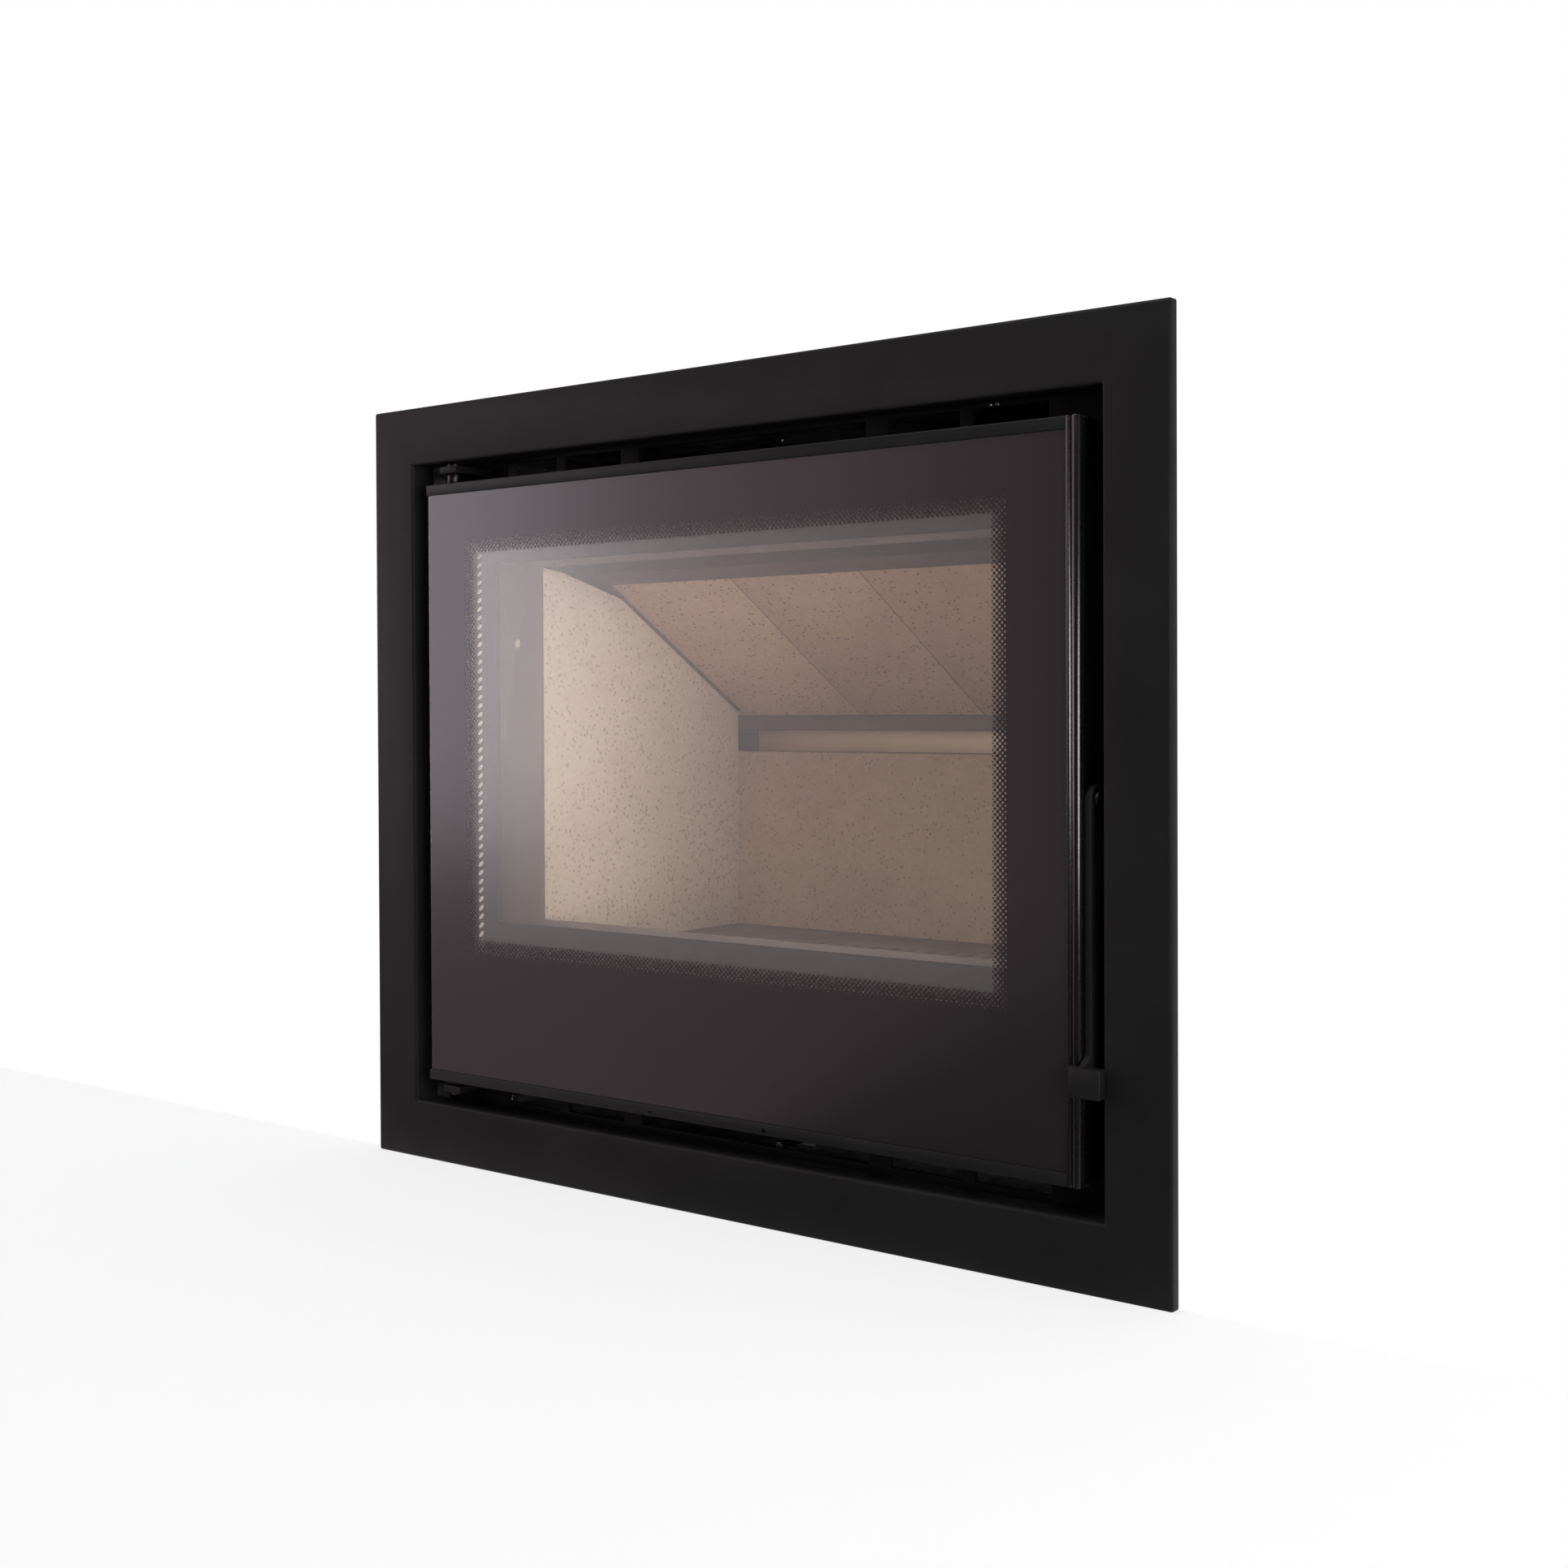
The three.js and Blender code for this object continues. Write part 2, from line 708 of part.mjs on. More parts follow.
function buildFlue() {
  const foot = roofZ + 2 * gap + boxSheet;
  const bore = flueRadius - flueWall;
  const collar = [
    [bore, foot],
    [flueRadius + flueFlange, foot],
    [flueRadius + flueFlange, foot + flueFlangeSheet],
    [flueRadius, foot + flueFlangeSheet],
    [flueRadius, flueTop],
    [bore, flueTop],
    [bore, foot],
  ];
  add('flue_collar', turned(collar, 0, flueY, 32), castIron);

  const seat = bodyTop + gap;
  const inner = spigotRadius - spigotWall;
  const spigot = [
    [inner, seat],
    [spigotRadius + spigotFlange, seat],
    [spigotRadius + spigotFlange, seat + sheet],
    [spigotRadius, seat + sheet],
    [spigotRadius, seat + spigotHeight],
    [inner, seat + spigotHeight],
    [inner, seat],
  ];
  for (const [sideName, side] of sides) {
    add(`hot_air_spigot_${sideName}`, turned(spigot, side * spigotX, flueY, 32), galvanised);
  }
}

function buildHearth() {
  const [y0, y1] = [boardY0, boardY1];
  const plate = block(-boardX + gap, boardX - gap, y0, y1, floorTop + gap, hearthZ);
  const [lapX, lapY] = [ashHalfX + grateLap, ashHalfY + grateLap];
  const ledge = hearthZ - grateSheet - gap;
  const recess = block(-lapX, lapX, ashY - lapY, ashY + lapY, ledge, hearthZ + past);
  add('hearth_plate', cut(plate, recess, ashOpening(floorTop - past, hearthZ + past)), castIron);

  const [gX, gY] = [lapX - 2 * gap, lapY - 2 * gap];
  const grate = block(-gX, gX, ashY - gY, ashY + gY, ledge + gap, hearthZ);
  const pitch = (2 * (gX - grateRim)) / grateSlots;
  const slots = Array.from({ length: grateSlots }, (_, i) => {
    const x = -gX + grateRim + pitch * (i + 0.5);
    const [s0, s1] = [ashY - gY + grateRim, ashY + gY - grateRim];
    return block(x - grateSlotWidth / 2, x + grateSlotWidth / 2, s0, s1, ledge, hearthZ + past);
  });
  add('grate', cut(grate, ...slots), castIron);

  const boxX = ashHalfX + ashBoxMargin;
  const boxY = ashHalfY + ashBoxMargin;
  const boxTop = floorBottom - gap;
  const boxBottom = boxTop - ashBoxHeight;
  const [y0Box, y1Box] = [ashY - boxY, ashY + boxY];
  const [ductIn, ductOut] = [ductX0 + ductWall, ductX1 - ductWall];
  const tray = cut(
    block(-boxX, boxX, y0Box, y1Box, boxBottom, boxTop),
    block(-boxX + sheet, boxX - sheet, y0Box + sheet, y1Box - sheet, boxBottom + sheet, boxTop + past),
    block(ductIn, ductOut, y0Box - past, y0Box + sheet + past, boxBottom + ductMargin, boxTop - ductMargin),
  );
  add('ash_box', tray, darkSteel);

  const [panX, panY] = [ashHalfX - panMargin, ashHalfY - panMargin];
  const panBottom = boxBottom + sheet + gap;
  const pan = cut(
    block(-panX, panX, ashY - panY, ashY + panY, panBottom, panBottom + panHeight),
    block(-panX + panWall, panX - panWall, ashY - panY + panWall, ashY + panY - panWall,
      panBottom + panWall, panBottom + panHeight + past),
  );
  add('ash_pan', pan, darkSteel);
}

// The port that the slide opens: it runs through the front plate, the slide and the duct.
function airPort(y0, y1) {
  return block(portX0, portX1, y0, y1, portBottom, portBottom + portHeight);
}

function buildAirControl() {
  const slideY = plateBackY + gap;
  const slideBack = slideY + slideSheet;
  const [slideX0, slideX1] = [portX0 - slideMargin, portX1 + rodTravel + slideMargin];
  const [slideZ0, slideZ1] = [portBottom - slideLap, portBottom + portHeight + slideLap];
  const blank = join(
    block(slideX0, slideX1, slideY, slideBack, slideZ0, slideZ1),
    block(rodOpenX - lugHalf, rodOpenX + lugHalf, slideY, slideBack, rodZ - lugTail, slideZ0 + past),
  );
  add('air_slide', cut(blank, airPort(slideY - past, slideBack + past)), galvanised);
  const rod = barY(rodOpenX, rodZ, rodRadius, plateBackY - rodLength, plateBackY, 16);
  add('air_rod', rod, boltSteel);

  const ductY = slideBack + gap;
  const ductEnd = ashY - ashHalfY - ashBoxMargin - gap;
  const ductTop = floorBottom - gap;
  const ductBottom = portBottom - ductWall;
  const duct = cut(
    block(ductX0, ductX1, ductY, ductEnd, ductBottom, ductTop),
    block(ductX0 + ductWall, ductX1 - ductWall, ductY + ductWall, ductEnd + past,
      ductBottom + ductWall, ductTop - ductWall),
    airPort(ductY - past, ductY + ductWall + past),
  );
  add('air_duct', duct, galvanised);
}

function buildHinges() {
  const hole = pinRadius + pinClearance;
  const middle = hingeX + bracketOffset;
  const [x0, x1] = [middle - bracketWidth / 2, middle + bracketWidth / 2];
  const levels = [
    { name: 'upper', bracket: doorTop + upperBracketRise, side: 1 },
    { name: 'lower', bracket: doorBottom - lowerBracketDrop, side: -1 },
  ];
  for (const { name, bracket, side } of levels) {
    const door = side > 0 ? doorTop : doorBottom;
    const far = bracket + side * bracketHeight;
    const [z0, z1] = [Math.min(bracket, far), Math.max(bracket, far)];
    const plate = block(x0, x1, bracketFrontY, plateY - gap, z0, z1);
    const drill = barZ(hingeX, hingeY, hole, z0 - past, z1 + past);
    add(`hinge_bracket_${name}`, cut(plate, drill), blackPaint);

    const head = far + side * gap;
    const profile = [
      [0, door - side * pinIntoDoor],
      [pinRadius, door - side * pinIntoDoor],
      [pinRadius, head],
      [pinHeadRadius, head],
      [pinHeadRadius, head + side * pinHeadHeight],
      [0, head + side * pinHeadHeight],
    ];
    add(`hinge_pin_${name}`, turned(profile, hingeX, hingeY, 24), boltSteel);

    const [b0, b1] = [Math.min(door, bracket) + gap, Math.max(door, bracket) - gap];
    const bush = cut(
      barZ(hingeX, hingeY, bushRadius, b0, b1),
      barZ(hingeX, hingeY, hole, b0 - past, b1 + past),
    );
    add(`hinge_bush_${name}`, bush, boltSteel);
  }
}

function buildDoor() {
  const pinHole = pinRadius + pinClearance;
  const shell = block(frameX0, frameX1, frameY, doorDepth, frameZ0, frameZ1);
  const hollow = block(
    frameX0 + frameSheet, frameX1 - frameSheet, frameY - past, doorDepth - frameSheet,
    frameZ0 + frameSheet, frameZ1 - frameSheet,
  );
  const collar = join(
    block(windowX0 - frameSheet, windowX1 + frameSheet, frameY, doorDepth,
      windowZ0 - frameSheet, windowZ1 + frameSheet),
    block(windowX0 - seatFlange, windowX1 + seatFlange, frameY, frameY + frameSheet,
      windowZ0 - seatFlange, windowZ1 + seatFlange),
  );
  const opening = block(windowX0, windowX1, frameY - past, doorDepth + past, windowZ0, windowZ1);
  const boss = barX(leverY, leverZ, bossRadius, frameX1 - frameSheet / 2, leverX - gap, 24);
  const drills = [
    barZ(hingeX, hingeY, pinHole, frameZ0 - past, frameZ0 + frameSheet + past),
    barZ(hingeX, hingeY, pinHole, frameZ1 - frameSheet - past, frameZ1 + past),
    barX(leverY, leverZ, boltRadius + boltClearance, frameX1 - frameSheet - past, leverX + past),
  ];
  add('door_frame', cut(join(cut(shell, hollow), collar, boss), opening, ...drills), blackPaint);

  const glassX1 = profileX + profileLip - gap;
  const [glassZ0, glassZ1] = [doorBottom + stripLip - glassLap, doorTop - stripLip + glassLap];
  const pane = block(doorLeft + glassInset, glassX1, 0, glassThickness, glassZ0, glassZ1);
  add('door_glass', pane, tintedGlass);

  const pad = seatFlange - gap;
  const padBack = glassY + gasketThickness;
  const padSection = [[0, glassY], [pad, glassY], [pad, padBack], [0, padBack]];
  const padEdge = {
    x0: windowX0 - pad, x1: windowX1 + pad, z0: windowZ0 - pad, z1: windowZ1 + pad,
  };
  add('glass_gasket', mitred(padSection, padEdge), rope);

  const ropeY = doorDepth + gap + ropeHeight / 2;
  const ropeSection = Array.from({ length: ropeSides }, (_, i) => {
    const half = Math.PI / ropeSides;
    const angle = (2 * i + 1) * half;
    const across = (ropeWidth / 2) * (1 + Math.cos(angle) / Math.cos(half));
    return [across, ropeY + (ropeHeight / 2) * Math.sin(angle)];
  });
  const ropeOut = ropeOffset + ropeWidth;
  const ropeEdge = {
    x0: windowX0 - ropeOut, x1: windowX1 + ropeOut, z0: windowZ0 - ropeOut, z1: windowZ1 + ropeOut,
  };
  add('rope_gasket', mitred(ropeSection, ropeEdge), rope);

  buildStrips(pinHole);
  buildSideProfile();
}

// Two angle strips hold the glass at its top and bottom edges.
function buildStrips(pinHole) {
  const front = -stripProud;
  const legBack = doorDepth - stripSetback;
  const plan = outline([
    [doorLeft, front],
    [profileX - gap, front],
    [profileX - gap, profileBack + gap],
    [doorRight, profileBack + gap],
    [doorRight, frameY],
    [frameX1, legBack],
    [doorLeft, legBack],
  ]);
  const levels = [['top_strip', doorTop, -1], ['bottom_strip', doorBottom, 1]];
  for (const [name, edge, inward] of levels) {
    const turn = inward > 0 ? [180, 270] : [180, 90];
    const fold = arc(front + stripFold, edge + inward * stripFold, stripFold, ...turn);
    const section = outline([
      [front, edge + inward * stripLip],
      ...fold,
      [legBack, edge],
      [legBack, edge + inward * stripSheet],
      [front + stripSheet, edge + inward * stripSheet],
      [front + stripSheet, edge + inward * stripLip],
    ]);
    const strip = common(
      carry(section, doorLeft, doorRight),
      raise(plan, edge - stripLip - past, edge + stripLip + past),
    );
    const drill = barZ(hingeX, hingeY, pinHole, edge - 2 * stripSheet, edge + 2 * stripSheet);
    add(name, cut(strip, drill), blackPaint);
  }
}

// The upright profile that closes the door's free edge: a thin lip, a groove and a round nose.
function buildSideProfile() {
  const lipX = profileX + profileLip;
  const neck = lipX + profileBevel;
  const noseX = doorRight - profileRound;
  const noseY = profileRound - profileProud;
  const shape = outline([
    [profileX, -gap],
    [profileX, -stripProud + profileBevel],
    [profileX + profileBevel, -stripProud],
    [lipX - profileBevel, -stripProud],
    [lipX, -stripProud + profileBevel],
    [neck, -gap - profileGroove],
    ...arc(noseX, noseY, profileRound, profileRoundStart, 360, 8),
    [doorRight, profileBack],
    [neck, profileBack],
    [neck, -gap],
  ]);
  add('side_profile', raise(shape, doorBottom, doorTop), blackPaint);
}

function buildLatch() {
  const [y, z] = [leverY, leverZ];
  const backEdge = y + leverRadius;
  const clawBack = y + hookBack;
  const clawFront = clawBack - hookSheet;
  const footTop = tabBottom + tabHeight;
  const shape = outline([
    ...arc(y, z, leverRadius, 180, 0, 10),
    [backEdge, z - hookDrop + hookArm],
    [clawFront, z - hookDrop + hookArm],
    [clawFront, z + hookRise],
    [clawBack, z + hookRise],
    [clawBack, z - hookDrop],
    [backEdge, z - hookDrop - hookArm],
    [backEdge, tabBottom],
    [tabBack + gap, tabBottom],
    [tabBack + gap, footTop],
    [y - leverRadius, footTop + leverTaper],
  ]);
  const hole = barX(y, z, boltRadius + boltClearance, leverX - past, leverOuterX + past);
  add('latch_lever', cut(carry(shape, leverX, leverOuterX), hole), blackPaint);

  const headX = leverOuterX + gap;
  const bolt = join(
    barX(y, z, boltRadius, frameX1 - frameSheet - boltReach, headX + boltHeadHeight / 2),
    barX(y, z, boltHeadRadius, headX, headX + boltHeadHeight),
  );
  add('pivot_bolt', bolt, boltSteel);

  const tabLeft = doorRight - tabLap;
  const tabRight = tabLeft + tabWidth;
  const plan = outline([
    [tabRight, tabBack],
    [tabLeft, tabBack],
    ...arc(tabLeft + tabRound, tabFront + tabRound, tabRound, 180, 270, 6),
    [tabRight - tabBevel, tabFront],
    [tabRight, tabFront + tabBevel],
  ]);
  add('handle_tab', raise(plan, tabBottom, tabBottom + tabHeight), blackPaint);

  const studX0 = leverOuterX + studClearance;
  const armX0 = studX0 + studLength;
  const armX1 = armX0 + keeperSheet;
  const studY = clawFront - gap - studRadius;
  const studZ = z - hookDrop + hookArm + studRise + studRadius;
  const baseX1 = bodyX - sheet - keeperInset;
  const [baseY0, baseY1] = [plateY - gap - keeperSheet, plateY - gap];
  const keeper = join(
    block(studX0, baseX1, baseY0, baseY1, studZ - keeperHalfHeight, studZ + keeperHalfHeight),
    block(armX0, armX1, studY - keeperArmNose, baseY1, studZ - keeperArmHalf, studZ + keeperArmHalf),
    barX(studY, studZ, studRadius, studX0, armX1, 16),
  );
  add('latch_keeper', keeper, boltSteel);
}

buildSurround();
buildCasing();
buildFeet();
buildFrontPlate();
buildFirebox();
buildBoards();
buildBaffle();
buildFlue();
buildHearth();
buildAirControl();
buildHinges();
buildDoor();
buildLatch();

export default insert;
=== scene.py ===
import json
import math

import bmesh
import bpy
from mathutils import Matrix, Vector


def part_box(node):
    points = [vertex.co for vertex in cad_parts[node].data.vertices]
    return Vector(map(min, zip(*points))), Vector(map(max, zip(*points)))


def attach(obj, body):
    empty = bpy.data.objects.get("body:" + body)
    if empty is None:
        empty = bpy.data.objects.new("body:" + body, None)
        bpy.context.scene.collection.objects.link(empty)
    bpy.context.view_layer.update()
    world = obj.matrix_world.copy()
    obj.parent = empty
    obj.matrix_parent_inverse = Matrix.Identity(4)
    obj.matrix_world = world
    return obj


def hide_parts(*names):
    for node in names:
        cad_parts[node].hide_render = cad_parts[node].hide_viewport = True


# Looks of a built-in fireplace insert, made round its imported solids. Metres, +Z up,
# the door faces -Y. Real sizes are written in millimetres, times MM.

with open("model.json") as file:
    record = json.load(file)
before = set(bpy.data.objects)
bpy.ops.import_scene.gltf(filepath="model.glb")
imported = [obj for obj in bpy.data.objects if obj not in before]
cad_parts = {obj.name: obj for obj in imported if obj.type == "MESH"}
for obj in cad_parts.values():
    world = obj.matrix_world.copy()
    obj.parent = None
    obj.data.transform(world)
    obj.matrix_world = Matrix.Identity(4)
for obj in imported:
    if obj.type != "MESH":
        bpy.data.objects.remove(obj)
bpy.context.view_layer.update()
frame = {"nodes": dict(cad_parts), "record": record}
NODES = frame["nodes"]
BODY_OF = {node: body for body, nodes in frame["record"]["behaviour"]["bodies"].items() for node in nodes}
SLOT_OF = {part["node"]: part["material_slot"] for part in frame["record"]["subparts"]}

MM = 0.001

# ------------------------------------------------------------------ camera of the photograph

FRAME_PX = 1932
FOCAL_PX = 2413.8
CENTRE_Y_PX = 900.9
CAMERA_PLACE = Vector((0.977, -1.348, 0.392))
CAMERA_YAW = math.radians(38.38)
CAMERA_PITCH = math.radians(-0.678)
CAMERA_ROLL = math.radians(-0.249)


def make_camera():
    data = bpy.data.cameras.new("photo_camera")
    data.lens = data.sensor_width * FOCAL_PX / FRAME_PX
    data.shift_y = (CENTRE_Y_PX - FRAME_PX / 2) / FRAME_PX
    camera = bpy.data.objects.new("photo_camera", data)
    ahead = Vector((
        -math.sin(CAMERA_YAW) * math.cos(CAMERA_PITCH),
        math.cos(CAMERA_YAW) * math.cos(CAMERA_PITCH),
        math.sin(CAMERA_PITCH),
    ))
    level = Vector((math.cos(CAMERA_YAW), math.sin(CAMERA_YAW), 0))
    upright = level.cross(ahead)
    right = level * math.cos(CAMERA_ROLL) + upright * math.sin(CAMERA_ROLL)
    up = upright * math.cos(CAMERA_ROLL) - level * math.sin(CAMERA_ROLL)
    turn = Matrix((right, up, -ahead)).transposed()
    camera.matrix_world = Matrix.Translation(CAMERA_PLACE) @ turn.to_4x4()
    bpy.context.scene.collection.objects.link(camera)
    bpy.context.scene.camera = camera


# ------------------------------------------------------------------ nodes and finishes

GLASS_IOR = 1.54
BOTH_FACES_IOR = 1.64  # one coat that mirrors as much as the pane's two faces
PANE_IOR = 1.04  # under its coat, a thin flat pane bends nothing
GLASS_BLUR = 0.23  # roughness with which the door's glass and its print mirror a lamp
WHITE = "#ffffff"


def linear(hex_colour):
    """The linear RGBA of an sRGB hex colour."""
    channels = [int(hex_colour[i:i + 2], 16) / 255 for i in (1, 3, 5)]
    return tuple(c / 12.92 if c <= 0.04045 else ((c + 0.055) / 1.055) ** 2.4 for c in channels) + (1.0,)


def put(tree, kind, inputs=(), **settings):
    """Adds one node with its settings; inputs are values or sockets, by name or number."""
    node = tree.nodes.new("ShaderNode" + kind)
    for key, value in settings.items():
        setattr(node, key, value)
    for key, value in dict(inputs).items():
        if isinstance(value, bpy.types.NodeSocket):
            tree.links.new(value, node.inputs[key])
        else:
            node.inputs[key].default_value = value
    return node


def calculate(tree, operation, first, second=0.0, **settings):
    """One step of arithmetic, on values or sockets."""
    return put(tree, "Math", {0: first, 1: second}, operation=operation, **settings).outputs[0]


def spread(tree, pattern, low, high, start=0.0, end=1.0):
    """A value that goes from low to high while a pattern goes from start to end."""
    return put(tree, "MapRange", {
        "Value": pattern, "From Min": start, "From Max": end, "To Min": low, "To Max": high,
    }).outputs[0]


def ramp(tree, pattern, first, second, start=0.0, end=1.0):
    """A colour that goes from the first to the second while a pattern goes from start to end."""
    node = put(tree, "ValToRGB", {"Fac": pattern})
    for element, position, colour in zip(node.color_ramp.elements, (start, end), (first, second)):
        element.position = position
        element.color = linear(colour)
    return node.outputs["Color"]


def per(millimetres):
    """Texture scale that repeats about once per so many millimetres."""
    return 1 / (millimetres * MM)


def noise(tree, place, grain, detail, roughness=0.5):
    """Noise with grains about so many millimetres wide."""
    return put(tree, "TexNoise", {
        "Vector": place, "Scale": per(grain), "Detail": detail, "Roughness": roughness,
    }).outputs["Fac"]


def relief(tree, pattern, strength, depth):
    """A bump that follows a pattern, so many millimetres deep."""
    return put(tree, "Bump", {
        "Height": pattern, "Strength": strength, "Distance": depth * MM,
    }).outputs["Normal"]


def start_finish(name, inputs):
    """A material with one Principled shader; its pattern coordinates are in metres."""
    material = bpy.data.materials.new(name)
    material.use_nodes = True
    tree = material.node_tree
    tree.nodes.clear()
    shader = put(tree, "BsdfPrincipled", inputs)
    put(tree, "OutputMaterial", {"Surface": shader.outputs[0]})
    place = put(tree, "TexCoord").outputs["Object"]
    return material, tree, shader, place


def feed(tree, shader, patterns):
    """Links patterns to a shader's inputs, by name."""
    for key, socket in patterns.items():
        tree.links.new(socket, shader.inputs[key])


def sprayed_paint(name, dark, light, roughness, gloss, peel_grain=1.1):
    """Matt heat-proof paint, sprayed on steel: a soft sheen over a faint orange peel and clouds."""
    material, tree, shader, place = start_finish(name, {"IOR": 1.5, "Specular IOR Level": gloss})
    peel = noise(tree, place, peel_grain, 2)
    feed(tree, shader, {
        "Base Color": ramp(tree, noise(tree, place, 70, 3), dark, light, 0.35, 0.65),
        "Roughness": spread(tree, peel, roughness - 0.06, roughness + 0.06, 0.3, 0.7),
        "Normal": relief(tree, peel, 0.35, 0.05),
    })
    return material


def galvanised_sheet():
    """Hot-dip zinc on steel sheet: a dull metal with spangles about 12 mm wide."""
    material, tree, shader, place = start_finish("galvanised_sheet", {"Metallic": 1.0})
    wander = put(tree, "TexNoise", {"Vector": place, "Scale": per(9), "Detail": 2})
    bent = put(tree, "MixRGB", {0: 0.006, 1: place, 2: wander.outputs["Color"]}, blend_type="ADD")
    spangle = put(tree, "TexVoronoi", {"Vector": bent.outputs[0], "Scale": per(12)})
    grey = put(tree, "SeparateColor", {0: spangle.outputs["Color"]})
    feed(tree, shader, {
        "Base Color": ramp(tree, grey.outputs[0], "#8a8d8f", "#b7babb"),
        "Roughness": spread(tree, grey.outputs[1], 0.36, 0.52),
        "Normal": relief(tree, noise(tree, place, 1.5, 4), 0.2, 0.05),
    })
    return material


def sand_cast_iron(name, dark, light):
    """Cast iron as it leaves a sand mould, thinly painted: the mould's grit shows through."""
    material, tree, shader, place = start_finish(name, {"Roughness": 0.68})
    feed(tree, shader, {
        "Base Color": ramp(tree, noise(tree, place, 35, 4), dark, light, 0.3, 0.7),
        "Normal": relief(tree, noise(tree, place, 1.6, 5, 0.65), 0.6, 0.25),
    })
    return material


FLAKE_TONE = "#5c4632"


def vermiculite_board(name, pale, deep, speckle):
    """Pressed vermiculite: a chalky board of mica flakes, some of them darker or golden.
    The flakes are drawn about twice as coarse as they are, so that they show."""
    material, tree, shader, place = start_finish(name, {"Roughness": 0.92, "Specular IOR Level": 0.25})
    ground = ramp(tree, noise(tree, place, 60, 5), deep, pale, 0.3, 0.7)
    flakes = put(tree, "TexVoronoi", {"Vector": place, "Scale": per(3.2), "Randomness": 1.0})
    chance = put(tree, "SeparateColor", {0: flakes.outputs["Color"]})
    dark = spread(tree, chance.outputs[0], 0, 1, 0.82, 0.85)
    small = spread(tree, flakes.outputs["Distance"], 0, 1, 0.45, 0.25)
    share = calculate(tree, "MULTIPLY", calculate(tree, "MULTIPLY", dark, small), speckle)
    flecked = put(tree, "MixRGB", {0: share, 1: ground, 2: linear(FLAKE_TONE)})
    mottle = spread(tree, chance.outputs[1], 0.92, 1.05)
    shade = put(tree, "MixRGB", {0: 1.0, 1: flecked.outputs[0], 2: mottle}, blend_type="MULTIPLY")
    feed(tree, shader, {
        "Base Color": shade.outputs[0],
        "Normal": relief(tree, noise(tree, place, 1.8, 5, 0.7), 0.5, 0.3),
    })
    return material


def rolled_stainless(name, dull, bright, smooth, rough):
    """Stainless strip as rolled, straw-coloured by heat, with lines along its length."""
    material, tree, shader, place = start_finish(name, {"Metallic": 1.0})
    along = put(tree, "Mapping", {"Vector": place, "Scale": (0.02, 1, 1)}).outputs[0]
    feed(tree, shader, {
        "Base Color": ramp(tree, noise(tree, place, 80, 2), dull, bright, 0.3, 0.7),
        "Roughness": spread(tree, noise(tree, along, 0.8, 3), smooth, rough),
    })
    return material


def blackened_steel():
    """Turned steel with a black oxide: dark and slightly glossy, worn in places."""
    material, tree, shader, place = start_finish("blackened_steel", {"Metallic": 1.0})
    wear = noise(tree, place, 4, 4)
    feed(tree, shader, {
        "Base Color": ramp(tree, wear, "#2a2a2b", "#4b4a48", 0.35, 0.75),
        "Roughness": spread(tree, wear, 0.3, 0.5),
    })
    return material


def zinc_plate():
    """Bright zinc plating on small screws and rivets."""
    material, tree, shader, place = start_finish("zinc_plate", {"Metallic": 1.0})
    film = noise(tree, place, 2.5, 3)
    feed(tree, shader, {
        "Base Color": ramp(tree, film, "#a3a29c", "#d0d0cb"),
        "Roughness": spread(tree, film, 0.22, 0.4),
    })
    return material


def glass_fibre_yarn(name, deep, pale):
    """Glass-fibre yarn: dull, with fine threads across each strand."""
    material, tree, shader, place = start_finish(name, {"Roughness": 0.85, "Sheen Weight": 0.1})
    thread = noise(tree, place, 0.6, 3)
    feed(tree, shader, {
        "Base Color": ramp(tree, thread, deep, pale, 0.3, 0.65),
        "Normal": relief(tree, thread, 0.5, 0.15),
    })
    return material


def ceramic_glass():
    """Clear glass ceramic with a faint warm tint; its coat blurs the lamps as the wavy sheet does."""
    material, tree, shader, place = start_finish("ceramic_glass", {
        "Base Color": linear("#f6f0ec"), "Transmission Weight": 1.0, "IOR": PANE_IOR,
        "Coat Weight": 1.0, "Coat Roughness": GLASS_BLUR, "Coat IOR": BOTH_FACES_IOR,
    })
    feed(tree, shader, {"Roughness": spread(tree, noise(tree, place, 90, 4), 0.0, 0.02)})
    return material


# ------------------------------------------------------------------ the glass's printed border

PRINT_BAND = 12 * MM  # width of the dotted edge
DOT_PITCH = 3.0 * MM  # about twice the real pitch, so that the dots show
PRINT_START = -0.2  # share of the lattice that is already inked where the dots begin
PRINT_END = 0.5  # and where they end in solid print


